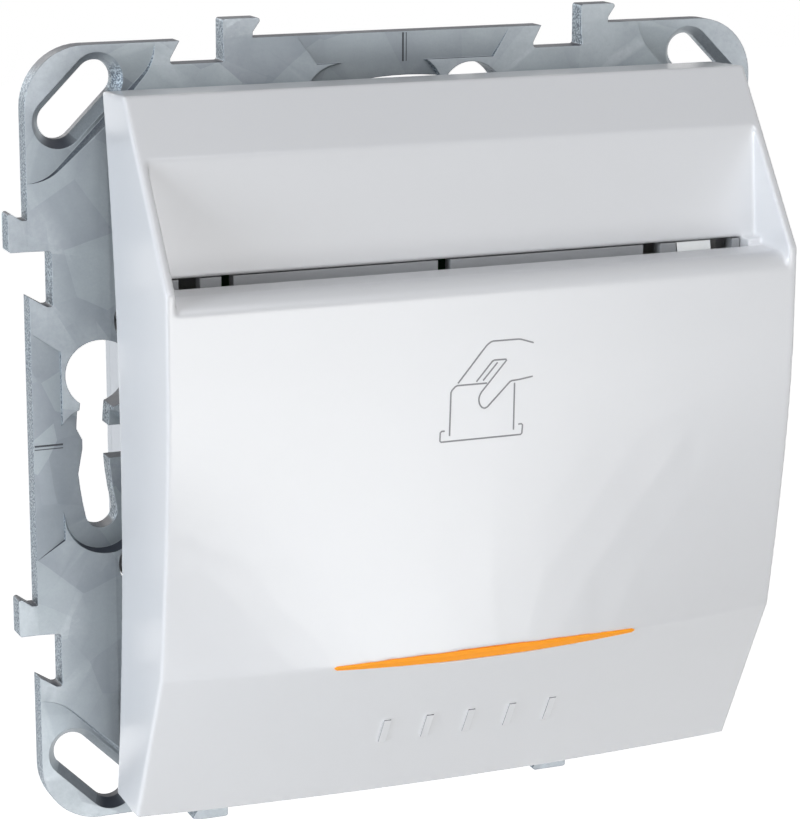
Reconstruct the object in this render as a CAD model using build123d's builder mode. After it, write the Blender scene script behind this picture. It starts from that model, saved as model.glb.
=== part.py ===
from build123d import *
import math
import os

# Hotel key card switch: a card holder on a square metal support frame.
# +X is right seen from the front, the front faces -Y, +Z is up.
# The origin is the centre of the support frame's back, which lies on the wall.

# Shared
over = 1.0
small = 0.05
thread_fit = 0.05
running_fit = 0.04
seat_gap = 0.3

# Support frame
frame_pitch = 71.0
ganging_gap = 0.1
plate_thickness = 1.92
frame_corner_radius = 5.45
tab_height = 1.75
notch_depth = 2.0
first_notch_floor = -22.26
first_notch_mouth = -21.3
first_tab_start = -17.29
first_tab_base = -14.51
first_tab_tip = -13.6
second_notch_floor = 12.69
second_notch_mouth = 13.6
second_tab_start = 17.65
second_tab_base = 20.42
second_tab_tip = 21.3
tab_neck = 0.5
tip_round = 0.25
field_rise = 1.1
field_run = 7.0
pad_draft = 16.0
corner_pad_start = 23.6
corner_pad_diagonal = 57.42
corner_pad_round = 4.0
corner_slot_radius = 43.3
corner_slot_centres = 5.0
corner_slot_width = 3.25
corner_slot_front_width = 4.7
corner_slot_land = 0.9
box_screw_circle = 60.0
keyhole_half_angle = 12.3
keyhole_radius = 3.15
keyhole_slot_width = 2.95
keyhole_pad_width = 6.7
keyhole_cusp_depth = 0.55
keyhole_cusp_flat = 0.8
keyhole_cusp_short_side = 1.5
keyhole_cusp_long_side = 3.3
rim_pad_outer_half = 10.4
rim_pad_inner_half = 8.6
rim_pad_depth = 2.6
keyhole_entry_width = 3.0
stud_hole_radius = 2.4
stud_hole_out = 25.7
stud_hole_along = 11.2

# Front cover, with its side profile in Y and Z
cover_half_width = 29.52
cover_back_y = -5.47
cover_top_back_z = 31.8
cover_top_front_y = -11.52
cover_top_front_z = 32.11
cover_face_y = -22.25
slope_end_z = 17.15
flat_end_z = 8.0
crease_z = -17.0
crease_middle_y = -22.0
crease_bulge = 2.9
bulge_power = 1.5
least_bulge = 0.02
chin_z = -32.23
chin_middle_y = -12.85
chin_bulge = 1.5
chin_back_z = -31.96
cover_wall = 1.6
side_arch_rise = 3.11
bulge_section_count = 5

# Card recess in the cover's slope, and the card's slot
card_width = 53.98
card_side_play = 0.31
recess_half_width = 28.65
recess_top_y = -15.05
recess_top_z = 27.3
recess_floor_y = -16.0
recess_floor_wall = 1.5
slot_gap = 1.3
lip_top_z = 16.6
lip_flat = 3.15
lip_cross = 0.1
lip_depth = 4.1
lip_foot = 1.0

# Indicator lens on the crease, and the raised bars below it
lens_half_length = 14.5
lens_rise = 0.34
lens_drop = 0.6
lens_depth = 3.2
lens_flange_half = 15.5
lens_flange_above = 1.0
lens_flange_below = 1.2
lens_fit = 0.03
bar_count = 5
bar_pitch = 4.05
bar_width = 0.65
bar_top_z = -23.64
bar_bottom_z = -26.14
bar_proud = 0.14
bar_root = 1.0

# Snap hooks inside the cover's sides
hook_half_spacing = 17.0
hook_length = 6.0
hook_front_y = -11.8
hook_back_y = -10.2
hook_reach = 1.7
window_play = 0.35

# Chassis behind the cover
chassis_half_width = 26.6
chassis_half_height = 28.6
chassis_floor = 1.6
chassis_wall = 1.4
chassis_wall_front_y = -12.5
chassis_wall_half_height = 24.0
chassis_opening_half = 16.0
chassis_bar_low_z = -12.5
chassis_bar_high_z = -6.5
neck_half = 21.9
neck_wall = 1.6
neck_corner_radius = 6.0
neck_back_y = 1.0
neck_clearance = 0.3
stud_radius = 2.1
stud_back_y = -0.2

# Circuit board and what stands on it
board_half_width = 20.0
board_half_height = 21.0
board_thickness = 1.2
board_standoff = 1.38
board_screw_x = 17.8
board_screw_z = 18.6
board_boss_radius = 1.9
board_screw_radius = 0.9
board_screw_head_radius = 1.8
board_screw_head_height = 1.1
board_screw_length = 3.6
screw_slot_width = 0.45
screw_slot_depth = 0.5
relay_half_width = 7.5
relay_low_z = -4.5
relay_high_z = 14.5
relay_back_y = 6.0
relay_round = 0.8
smoothing_can_x = -13.5
smoothing_can_z = 4.0
smoothing_can_radius = 4.0
smoothing_can_height = 6.0
smoothing_can_round = 0.5
film_capacitor_left_x = 10.0
film_capacitor_right_x = 18.0
film_capacitor_low_z = -2.0
film_capacitor_high_z = 10.0
film_capacitor_height = 5.6
film_capacitor_round = 0.6
resistor_count = 3
resistor_x = 12.5
resistor_low_z = -11.6
resistor_pitch = 2.6
resistor_radius = 0.95
resistor_length = 5.0
resistor_lead_radius = 0.25
resistor_lead_spread = 8.0
resistor_rise = 1.2
led_z = -17.1
led_radius = 1.5
led_rim_radius = 1.8
led_rim_height = 0.7
led_height = 2.8

# Light guide from the lamp to the lens
light_guide_thickness = 1.5
light_guide_front_half = 12.0
light_guide_neck_half = 8.0
light_guide_tail_half = 2.4
light_guide_fit = 0.05
light_guide_lamp_gap = 0.1

# Card guide
guide_back_y = -14.6
guide_plate = 1.2
guide_side_gap = 0.22
guide_skirt_half_width = 13.5
guide_skirt_bottom_z = -19.0
guide_top_gap = 0.1
card_stop_z = -13.4
card_stop_thickness = 1.2
guide_leg_low_z = -12.0
guide_leg_high_z = 15.0
guide_notch_bottom_z = 14.0
guide_notch_spans = ((-26.3, -24.4), (-22.5, -21.4), (-2.6, -1.4), (17.4, 19.1), (24.5, 26.4))
leaf_recess_left_x = 20.7
leaf_recess_right_x = 24.5
leaf_recess_bottom_z = 4.0
leaf_recess_depth = 0.6
guide_screw_x = 22.6
guide_screw_high_z = 1.5
guide_screw_low_z = -5.5
guide_boss_radius = 2.1
guide_screw_radius = 0.9
guide_screw_head_radius = 1.8
guide_screw_length = 6.0
lever_window_half = 3.4
lever_window_low_z = -13.0
lever_window_high_z = 6.4
retainer_plate = 1.2
retainer_taper_top_z = -6.0
retainer_bottom_half = 22.0
retainer_bar_top_z = -11.3
retainer_window_half = 24.8
retainer_window_taper_z = -7.5
retainer_window_bottom_half = 20.5
retainer_window_top_z = 8.0
retainer_top_z = 11.5

# Leaf spring that steadies the card
leaf_thickness = 0.3
leaf_side_gap = 0.2
leaf_foot = 2.2
leaf_bow = 0.75
leaf_top_gap = 0.05
rivet_radius = 0.6
rivet_head_radius = 1.0
rivet_tail_height = 0.4

# Card lever, its pin and its spring
pivot_y = -13.4
pivot_z = 3.5
lever_hub_radius = 1.7
lever_half_width = 3.0
lever_front_y = -15.2
lever_thickness = 1.4
lever_nose_reach = 2.4
lever_nose_top_z = -5.5
lever_nose_tip_high_z = -9.5
lever_nose_tip_low_z = -10.5
lever_nose_root_z = -12.0
lever_tail_low_z = -15.4
lever_tail_step = 1.0
lever_tail_thickness = 1.2
lever_peg_radius = 0.9
lever_peg_length = 1.2
pin_radius = 0.75
lug_inner_half = 4.3
lug_outer_half = 5.7
lug_half_height = 1.7
lug_reach = 2.6
spring_z = -9.5
spring_radius = 1.6
spring_wire_radius = 0.18
spring_turns = 5
spring_seat_y = -7.9
spring_boss_radius = 2.2
spring_boss_hole_radius = 2.6

# Microswitch
switch_half_width = 6.4
switch_low_z = -4.5
switch_high_z = 1.5
switch_front_y = -12.1
switch_wall = 0.8
switch_back_wall = 0.5
switch_lid = 0.8
plunger_radius = 0.9
plunger_collar_radius = 1.5
plunger_collar_thickness = 0.7
plunger_tip_gap = 0.3
plunger_inside = 1.9
blade_thickness = 0.25
blade_half_width = 1.1
blade_pivot_x = -4.6
blade_tip_x = 5.0
contact_x = 4.2
blade_gap = 0.3
contact_radius = 0.8
contact_height = 0.25
support_post_radius = 0.6
switch_pin_radius = 0.35
switch_pin_z = 0.3
switch_pin_end_y = -5.5
pin_hole_play = 0.1

# Rear housing in the wall box
housing_back_y = 19.0
housing_wall = 1.6
partition_front_y = 7.6
partition_thickness = 1.4
housing_screw_inset = 3.7
housing_boss_radius = 2.3
housing_screw_radius = 1.1
housing_screw_hole_radius = 1.35
housing_screw_head_radius = 2.0
housing_screw_head_height = 1.2
housing_screw_front_y = -3.8
rear_cover_thickness = 1.8
rear_cover_round = 0.6
wire_entry_radius = 2.1
wire_entry_inset = 10.15
wire_funnel_radius = 2.7
wire_funnel_depth = 0.7

# Screw terminals, two at the top and two at the bottom
terminal_x = 10.0
terminal_y = 13.5
cage_half_width = 3.2
cage_half_depth = 3.0
cage_wall = 1.2
cage_side_wall = 0.8
cage_head_wall = 1.4
cage_inner_height = 5.6
cage_inset = 6.8
cage_side_gap = 0.3
pocket_rib = 0.9
pocket_floor = 0.9
strip_half_width = 1.6
strip_thickness = 0.8
strip_inset = 7.9
strip_pin_half_width = 0.6
strip_pin_length = 1.2
strip_pin_play = 0.1
terminal_screw_radius = 1.45
terminal_screw_head_radius = 2.3
terminal_screw_head_inset = 0.4
terminal_screw_head_height = 1.55
terminal_screw_slot = 0.7
terminal_access_play = 0.3
terminal_ledge = 0.8
terminal_ledge_gap = 0.3
strip_screw_gap = 0.1

# Screws that hold the chassis to the frame
chassis_screw_radius = 1.25
chassis_screw_head_radius = 2.9
chassis_screw_length = 6.4
head_taper = 45.0
chassis_screw_pad = 2.6
chassis_screw_pad_radius = 2.7

# Worked out from the sizes above
edge_level = frame_pitch / 2 - ganging_gap
field_y = -(plate_thickness + field_rise)
field_half = edge_level - field_run
box_screw_radius = box_screw_circle / 2
chassis_floor_y = field_y - chassis_floor
board_back_y = chassis_floor_y - board_standoff
board_front_y = board_back_y - board_thickness
lip_back_y = recess_floor_y - slot_gap
slot_half_width = card_width / 2 + card_side_play
guide_face_y = guide_back_y - guide_plate
guide_half_width = cover_half_width - cover_wall - guide_side_gap
guide_top_z = slope_end_z - guide_top_gap
retainer_front_y = lip_back_y - retainer_plate
lever_back_y = lever_front_y + lever_thickness
frame_opening_half = neck_half + neck_clearance
rear_face_y = housing_back_y + rear_cover_thickness
switch_middle_z = (switch_low_z + switch_high_z) / 2
plunger_tip_y = lever_back_y + plunger_tip_gap
plunger_end_y = switch_front_y + plunger_inside
blade_front_y = plunger_end_y + blade_gap
light_guide_z = led_z
housing_screw_x = neck_half - housing_screw_inset
wire_entry_z = neck_half - wire_entry_inset
cage_inner_high_z = neck_half - cage_inset
cage_inner_low_z = cage_inner_high_z - cage_inner_height
strip_low_z = neck_half - strip_inset
terminal_screw_head_high_z = neck_half - terminal_screw_head_inset
terminal_screw_head_low_z = terminal_screw_head_high_z - terminal_screw_head_height
cage_low_z = cage_inner_low_z - cage_wall
cage_high_z = cage_inner_high_z + cage_head_wall
partition_back_y = partition_front_y + partition_thickness
lens_y = crease_middle_y + lens_depth
retainer_back_y = lip_back_y
leaf_x = (leaf_recess_left_x + leaf_recess_right_x) / 2
leaf_width = leaf_recess_right_x - leaf_recess_left_x - 2 * leaf_side_gap
leaf_low_z = leaf_recess_bottom_z + leaf_side_gap
leaf_high_z = guide_top_z - leaf_top_gap
leaf_rivet_z = leaf_low_z + leaf_foot / 2


def span_block(span_x, span_y, span_z, mode=Mode.ADD):
    # A block between pairs of limits along X, Y and Z.
    sizes = [high - low for low, high in (span_x, span_y, span_z)]
    middle = [(low + high) / 2 for low, high in (span_x, span_y, span_z)]
    with Locations(tuple(middle)):
        Box(*sizes, mode=mode)


def rod(x, z, radius, back_y, front_y, mode=Mode.ADD):
    # A round bar along Y between its back and its front.
    with Locations(Plane((x, (back_y + front_y) / 2, z), x_dir=(1, 0, 0), z_dir=(0, -1, 0))):
        Cylinder(radius, abs(back_y - front_y), mode=mode)


def cross_rod(x_low, x_high, y, z, radius, mode=Mode.ADD):
    # A round bar along X.
    with Locations(Plane(((x_low + x_high) / 2, y, z), x_dir=(0, 1, 0), z_dir=(1, 0, 0))):
        Cylinder(radius, x_high - x_low, mode=mode)


def upright(x, y, low_z, high_z, radius, mode=Mode.ADD):
    # A round bar along Z.
    with Locations((x, y, (low_z + high_z) / 2)):
        Cylinder(radius, abs(high_z - low_z), mode=mode)


def front_plane(y):
    return Plane.XZ.offset(-y)


def finish(piece, name):
    piece.part.label = name
    export_step(piece.part, f"parts/{name}.step")


os.makedirs("parts", exist_ok=True)

# Support frame: stamped plate with dovetail ganging tabs, alike on its four sides
with BuildPart() as support_frame:
    with BuildSketch(Plane.XZ) as outline:
        RectangleRounded(2 * edge_level, 2 * edge_level, frame_corner_radius)
        with PolarLocations(0, 4):
            Polygon(
                (first_tab_start, edge_level - over),
                (first_tab_start, edge_level + tab_height),
                (first_tab_tip, edge_level + tab_height),
                (first_tab_base, edge_level + tab_neck),
                (first_tab_base, edge_level - over),
                align=None,
            )
            Polygon(
                (second_tab_start, edge_level - over),
                (second_tab_start, edge_level + tab_height),
                (second_tab_tip, edge_level + tab_height),
                (second_tab_base, edge_level + tab_neck),
                (second_tab_base, edge_level - over),
                align=None,
            )
        tips = outline.vertices().filter_by(
            lambda v: abs(max(abs(v.X), abs(v.Y)) - edge_level) > small
        )
        fillet(tips, tip_round)
    extrude(amount=plate_thickness)
    # The field rises towards the middle.
    with BuildSketch(front_plane(-plate_thickness)):
        Rectangle(2 * edge_level, 2 * edge_level)
    with BuildSketch(front_plane(field_y)):
        Rectangle(2 * field_half, 2 * field_half)
    loft()
    # Notches that take the next frame's tabs
    with BuildSketch(front_plane(over)) as notches:
        with PolarLocations(0, 4):
            notch_slant = notch_depth - tab_neck
            first_flare = (first_notch_mouth - first_notch_floor) * over / notch_slant
            second_flare = (second_notch_mouth - second_notch_floor) * over / notch_slant
            Polygon(
                (first_notch_floor, edge_level - notch_slant),
                (first_notch_floor, edge_level - notch_depth),
                (first_tab_start, edge_level - notch_depth),
                (first_tab_start, edge_level + over),
                (first_notch_mouth + first_flare, edge_level + over),
                align=None,
            )
            Polygon(
                (second_notch_floor, edge_level - notch_slant),
                (second_notch_floor, edge_level - notch_depth),
                (second_tab_start, edge_level - notch_depth),
                (second_tab_start, edge_level + over),
                (second_notch_mouth + second_flare, edge_level + over),
                align=None,
            )
        floors = notches.vertices().filter_by(
            lambda v: max(abs(v.X), abs(v.Y), abs(v.Z)) < edge_level
        )
        fillet(floors, tip_round)
    extrude(amount=plate_thickness + field_rise + 2 * over, mode=Mode.SUBTRACT)
    # Flat pads at the corners and round the keyholes, with drafted edges
    with BuildSketch(front_plane(-plate_thickness)) as corner_pads:
        far = edge_level + field_run
        with PolarLocations(0, 4):
            Polygon(
                (-corner_pad_start, far),
                (-corner_pad_start, corner_pad_diagonal - corner_pad_start),
                (corner_pad_start - corner_pad_diagonal, corner_pad_start),
                (-far, corner_pad_start),
                (-far, far),
                align=None,
            )
        bends = corner_pads.vertices().filter_by(
            lambda v: abs(abs(v.X) + abs(v.Y) - corner_pad_diagonal) < small
        )
        fillet(bends, corner_pad_round)
    extrude(amount=field_rise + over, taper=-pad_draft, mode=Mode.SUBTRACT)
    keyhole_arc = CenterArc(
        (0, 0), box_screw_radius, 180 - keyhole_half_angle, 2 * keyhole_half_angle, mode=Mode.PRIVATE
    )
    pad_arc = CenterArc((0, 0), box_screw_radius, 180, keyhole_half_angle, mode=Mode.PRIVATE)
    with BuildSketch(front_plane(-plate_thickness)):
        with PolarLocations(0, 4):
            SlotArc(pad_arc, keyhole_pad_width)
    extrude(amount=field_rise + over, taper=-pad_draft, mode=Mode.SUBTRACT)
    # Flat strips along the rim, in the middle of each side
    rim_pad_slant = (rim_pad_outer_half - rim_pad_inner_half) * over / rim_pad_depth
    with BuildSketch(front_plane(-plate_thickness)):
        with PolarLocations(0, 4):
            Polygon(
                (edge_level + over, rim_pad_outer_half + rim_pad_slant),
                (edge_level - rim_pad_depth, rim_pad_inner_half),
                (edge_level - rim_pad_depth, -rim_pad_inner_half),
                (edge_level + over, -rim_pad_outer_half - rim_pad_slant),
                align=None,
            )
    extrude(amount=field_rise + over, mode=Mode.SUBTRACT)
    # Keyholes for the wall box's screws, with an entry from the middle
    with BuildSketch(front_plane(over)):
        with PolarLocations(0, 4):
            SlotArc(keyhole_arc, keyhole_slot_width)
        with PolarLocations(box_screw_radius, 4, start_angle=180 - keyhole_half_angle):
            Circle(keyhole_radius)
        entry_length = box_screw_radius - frame_opening_half + over
        with PolarLocations(frame_opening_half - over + entry_length / 2, 4):
            Rectangle(entry_length, keyhole_entry_width)
        RectangleRounded(
            2 * frame_opening_half, 2 * frame_opening_half, neck_corner_radius + neck_clearance
        )
        for side in (1, -1):
            for along in (stud_hole_along, -stud_hole_along):
                with Locations((side * stud_hole_out, along), (along, side * stud_hole_out)):
                    Circle(stud_hole_radius)
        with PolarLocations(corner_slot_radius, 4, start_angle=45):
            SlotCenterToCenter(corner_slot_centres, corner_slot_width, rotation=90)
    extrude(amount=plate_thickness + field_rise + 2 * over, mode=Mode.SUBTRACT)
    # Countersunk flanks of the corner slots
    flank = (corner_slot_front_width - corner_slot_width) / 2
    flank_depth = plate_thickness - corner_slot_land
    with BuildSketch(front_plane(-corner_slot_land)):
        with PolarLocations(corner_slot_radius, 4, start_angle=45):
            SlotCenterToCenter(corner_slot_centres, corner_slot_width, rotation=90)
    extrude(
        amount=flank_depth,
        taper=-math.degrees(math.atan2(flank, flank_depth)),
        mode=Mode.SUBTRACT,
    )
    # Seats for the chassis screws' heads, sunk in the back
    seat_depth = chassis_screw_head_radius - stud_hole_radius
    with BuildSketch(Plane.XZ):
        for side in (1, -1):
            for along in (stud_hole_along, -stud_hole_along):
                with Locations((along, side * stud_hole_out)):
                    Circle(chassis_screw_head_radius)
    extrude(amount=seat_depth, taper=head_taper, mode=Mode.SUBTRACT)
    # A low cusp on the outer side of the left and right keyholes
    keyhole_outer = box_screw_radius + keyhole_slot_width / 2
    with BuildSketch(Plane.XZ):
        with PolarLocations(0, 2):
            Polygon(
                (keyhole_outer + over, -keyhole_cusp_short_side),
                (keyhole_outer, -keyhole_cusp_short_side),
                (keyhole_outer - keyhole_cusp_depth, -keyhole_cusp_flat / 2),
                (keyhole_outer - keyhole_cusp_depth, keyhole_cusp_flat / 2),
                (keyhole_outer, keyhole_cusp_long_side),
                (keyhole_outer + over, keyhole_cusp_long_side),
                align=None,
            )
    extrude(amount=plate_thickness)
finish(support_frame, "support_frame")

# Front cover: a shell with a bulged lower face, a sloped top and a card recess


def face_section(z, middle_y, bulge, inset):
    # One level cut of the cover, with a bowed front.
    half = cover_half_width - inset
    side_y = middle_y + bulge
    back_y = cover_back_y + (over if inset else 0)
    with BuildSketch(Plane.XY.offset(z)) as section:
        with BuildLine():
            Polyline((-half, side_y), (-half, back_y), (half, back_y), (half, side_y))
            ThreePointArc((half, side_y), (0, middle_y), (-half, side_y))
        make_face()
    return section.sketch


def face_bulge(z):
    share = max(0, (flat_end_z - z) / (flat_end_z - crease_z))
    return max(least_bulge, crease_bulge * share**bulge_power)


def face_middle_y(z):
    share = (flat_end_z - z) / (flat_end_z - crease_z)
    return cover_face_y + (crease_middle_y - cover_face_y) * share


def side_profile(points, half):
    # A profile in Y and Z, run from one side to the other.
    with BuildSketch(Plane.YZ) as profile:
        with BuildLine():
            Polyline(*points, close=True)
        make_face()
    return extrude(profile.sketch, amount=half, both=True, mode=Mode.PRIVATE)


chin_run = math.hypot(chin_middle_y - crease_middle_y, chin_z - crease_z)
chin_offset_share = chin_run / (crease_z - chin_z)
slope_y = cover_face_y - cover_top_front_y
slope_z = slope_end_z - cover_top_front_z
slope_run = math.hypot(slope_y, slope_z)
cavity_top_z = cover_top_back_z - cover_wall
cavity_chin_z = chin_z + cover_wall
cavity_half = cover_half_width - cover_wall
cavity_face_top_z = lip_top_z - lip_depth - lip_foot
floor_back_y = recess_floor_y + recess_floor_wall
wall_step_y = cover_wall * chin_offset_share


def chin_at(z, crease_value, chin_value):
    share = (crease_z - z) / (crease_z - chin_z)
    return crease_value + (chin_value - crease_value) * share


with BuildPart() as cover_form:
    for step in range(bulge_section_count):
        level = flat_end_z + (crease_z - flat_end_z) * step / (bulge_section_count - 1)
        add(face_section(level, face_middle_y(level), face_bulge(level), 0))
    loft()
with BuildPart() as cover_chin:
    add(face_section(crease_z, crease_middle_y, crease_bulge, 0))
    add(face_section(chin_z, chin_middle_y, chin_bulge, 0))
    loft(ruled=True)
with BuildPart() as cover_outer:
    add(
        side_profile(
            [
                (cover_back_y, flat_end_z),
                (cover_back_y, cover_top_back_z),
                (cover_top_front_y, cover_top_front_z),
                (cover_face_y, slope_end_z),
                (cover_face_y, flat_end_z),
            ],
            cover_half_width,
        )
    )
    add(cover_form.part)
    add(cover_chin.part)
    # The underside rises a little towards the back.
    add(
        side_profile(
            [
                (cover_back_y, chin_back_z),
                (cover_back_y, chin_z - over),
                (chin_middle_y - over, chin_z - over),
                (chin_middle_y - over, chin_z),
                (chin_middle_y, chin_z),
            ],
            cover_half_width + over,
        ),
        mode=Mode.SUBTRACT,
    )
with BuildPart() as cavity_form:
    for step in range(bulge_section_count):
        level = cavity_face_top_z + (crease_z - cavity_face_top_z) * step / (bulge_section_count - 1)
        add(face_section(level, face_middle_y(level) + cover_wall, face_bulge(level), cover_wall))
    loft()
with BuildPart() as cavity_chin:
    add(face_section(crease_z, crease_middle_y + cover_wall, crease_bulge, cover_wall))
    chin_end_y = chin_at(cavity_chin_z, crease_middle_y, chin_middle_y) + wall_step_y
    chin_end_bulge = chin_at(cavity_chin_z, crease_bulge, chin_bulge)
    add(face_section(cavity_chin_z, chin_end_y, chin_end_bulge, cover_wall))
    loft(ruled=True)
# Card recess: a leaning floor, a slot and a rounded lip
lip_end_y = cover_face_y - lip_cross
lip_round = abs(lip_end_y - lip_back_y) - lip_flat
arc_share = math.sqrt(1 / 2)
with BuildPart() as recess:
    with BuildSketch(Plane.YZ):
        with BuildLine():
            Polyline(
                (lip_back_y - lip_flat, lip_top_z),
                (lip_back_y, lip_top_z),
                (lip_back_y, slope_end_z),
                (recess_floor_y, slope_end_z),
                (recess_top_y, recess_top_z),
                (cover_face_y - over, recess_top_z),
                (cover_face_y - over, lip_top_z - lip_round),
                (lip_end_y, lip_top_z - lip_round),
            )
            ThreePointArc(
                (lip_end_y, lip_top_z - lip_round),
                (lip_end_y + lip_round * (1 - arc_share), lip_top_z - lip_round * (1 - arc_share)),
                (lip_back_y - lip_flat, lip_top_z),
            )
        make_face()
    extrude(amount=recess_half_width, both=True)
with BuildPart() as front_cover:
    add(cover_outer.part)
    # Inside of the shell
    slope_inner_y = cover_top_front_y - cover_wall * slope_z / slope_run
    slope_inner_z = cover_top_front_z + cover_wall * slope_y / slope_run
    inner_at_top_y = slope_inner_y + (cavity_top_z - slope_inner_z) * slope_y / slope_z
    recess_back_z = recess_top_z - cover_wall / 2
    add(
        side_profile(
            [
                (cover_back_y + over, cavity_face_top_z),
                (cover_back_y + over, cavity_top_z),
                (inner_at_top_y, cavity_top_z),
                (recess_top_y + recess_floor_wall, recess_back_z),
                (floor_back_y, slope_end_z),
                (floor_back_y, lip_top_z - lip_foot),
                (lip_back_y, lip_top_z - lip_foot),
                (lip_back_y, cavity_face_top_z + lip_foot),
                (cover_face_y + cover_wall, cavity_face_top_z),
            ],
            cavity_half,
        ),
        mode=Mode.SUBTRACT,
    )
    add(cavity_form.part, mode=Mode.SUBTRACT)
    add(cavity_chin.part, mode=Mode.SUBTRACT)
    # Card slot between the recess floor and the lip
    span_block(
        (-slot_half_width, slot_half_width),
        (lip_back_y, floor_back_y),
        (cavity_face_top_z + lip_foot, slope_end_z),
        mode=Mode.SUBTRACT,
    )
    # The sides' rear edges arch forward for a domed surround.
    half_rise = (cover_top_back_z - chin_back_z) / 2
    arch_radius = (half_rise**2 + side_arch_rise**2) / (2 * side_arch_rise)
    arch_z = (cover_top_back_z + chin_back_z) / 2
    cross_rod(
        -cover_half_width - over,
        cover_half_width + over,
        cover_back_y - side_arch_rise + arch_radius,
        arch_z,
        arch_radius,
        mode=Mode.SUBTRACT,
    )
    add(recess.part, mode=Mode.SUBTRACT)
    # Window for the lens
    with BuildSketch(front_plane(cover_face_y - over)):
        with BuildLine():
            ThreePointArc(
                (-lens_half_length - lens_fit, crease_z),
                (0, crease_z + lens_rise + lens_fit),
                (lens_half_length + lens_fit, crease_z),
            )
            ThreePointArc(
                (lens_half_length + lens_fit, crease_z),
                (0, crease_z - lens_drop - lens_fit),
                (-lens_half_length - lens_fit, crease_z),
            )
        make_face()
    extrude(amount=cover_face_y - over - lens_y, mode=Mode.SUBTRACT)
    # Raised bars on the chin
    bar_middle_z = (bar_top_z + bar_bottom_z) / 2
    chin_lean = math.atan2(chin_middle_y - crease_middle_y, crease_z - chin_z)
    bar_length = (bar_top_z - bar_bottom_z) / math.cos(chin_lean)
    for bar in range(bar_count):
        bar_x = (bar - (bar_count - 1) / 2) * bar_pitch
        bow = chin_at(bar_middle_z, crease_bulge, chin_bulge) * (bar_x / cover_half_width) ** 2
        bar_y = chin_at(bar_middle_z, crease_middle_y, chin_middle_y) + bow
        bar_plane = Plane(
            (bar_x, bar_y, bar_middle_z),
            x_dir=(1, 0, 0),
            z_dir=(0, -math.cos(chin_lean), -math.sin(chin_lean)),
        )
        with BuildSketch(bar_plane.offset(-bar_root)):
            Rectangle(bar_width, bar_length)
        extrude(amount=bar_root + bar_proud)
    # Snap hooks inside the sides
    for side in (-1, 1):
        for hook_z in (-hook_half_spacing, hook_half_spacing):
            inner = side * (cavity_half - hook_reach)
            outer = side * (cavity_half + cover_wall / 2)
            span_block(
                (min(inner, outer), max(inner, outer)),
                (hook_front_y, hook_back_y),
                (hook_z - hook_length / 2, hook_z + hook_length / 2),
            )
finish(front_cover, "front_cover")

# Indicator lens: an amber leaf on the crease, with a flange that fits the shell's inside
with BuildPart() as shell_inside:
    add(cavity_form.part)
    add(cavity_chin.part)
with BuildPart() as lens_flange:
    span_block(
        (-lens_flange_half, lens_flange_half),
        (cover_face_y, lens_y),
        (crease_z - lens_flange_below, crease_z + lens_flange_above),
    )
    add(shell_inside.part, mode=Mode.INTERSECT)
with BuildPart() as indicator_lens:
    with BuildSketch(front_plane(cover_face_y - over)):
        with BuildLine():
            ThreePointArc(
                (-lens_half_length, crease_z), (0, crease_z + lens_rise), (lens_half_length, crease_z)
            )
            ThreePointArc(
                (lens_half_length, crease_z), (0, crease_z - lens_drop), (-lens_half_length, crease_z)
            )
        make_face()
    extrude(amount=cover_face_y - over - lens_y)
    add(cover_outer.part, mode=Mode.INTERSECT)
    add(lens_flange.part)
finish(indicator_lens, "indicator_lens")

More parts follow.
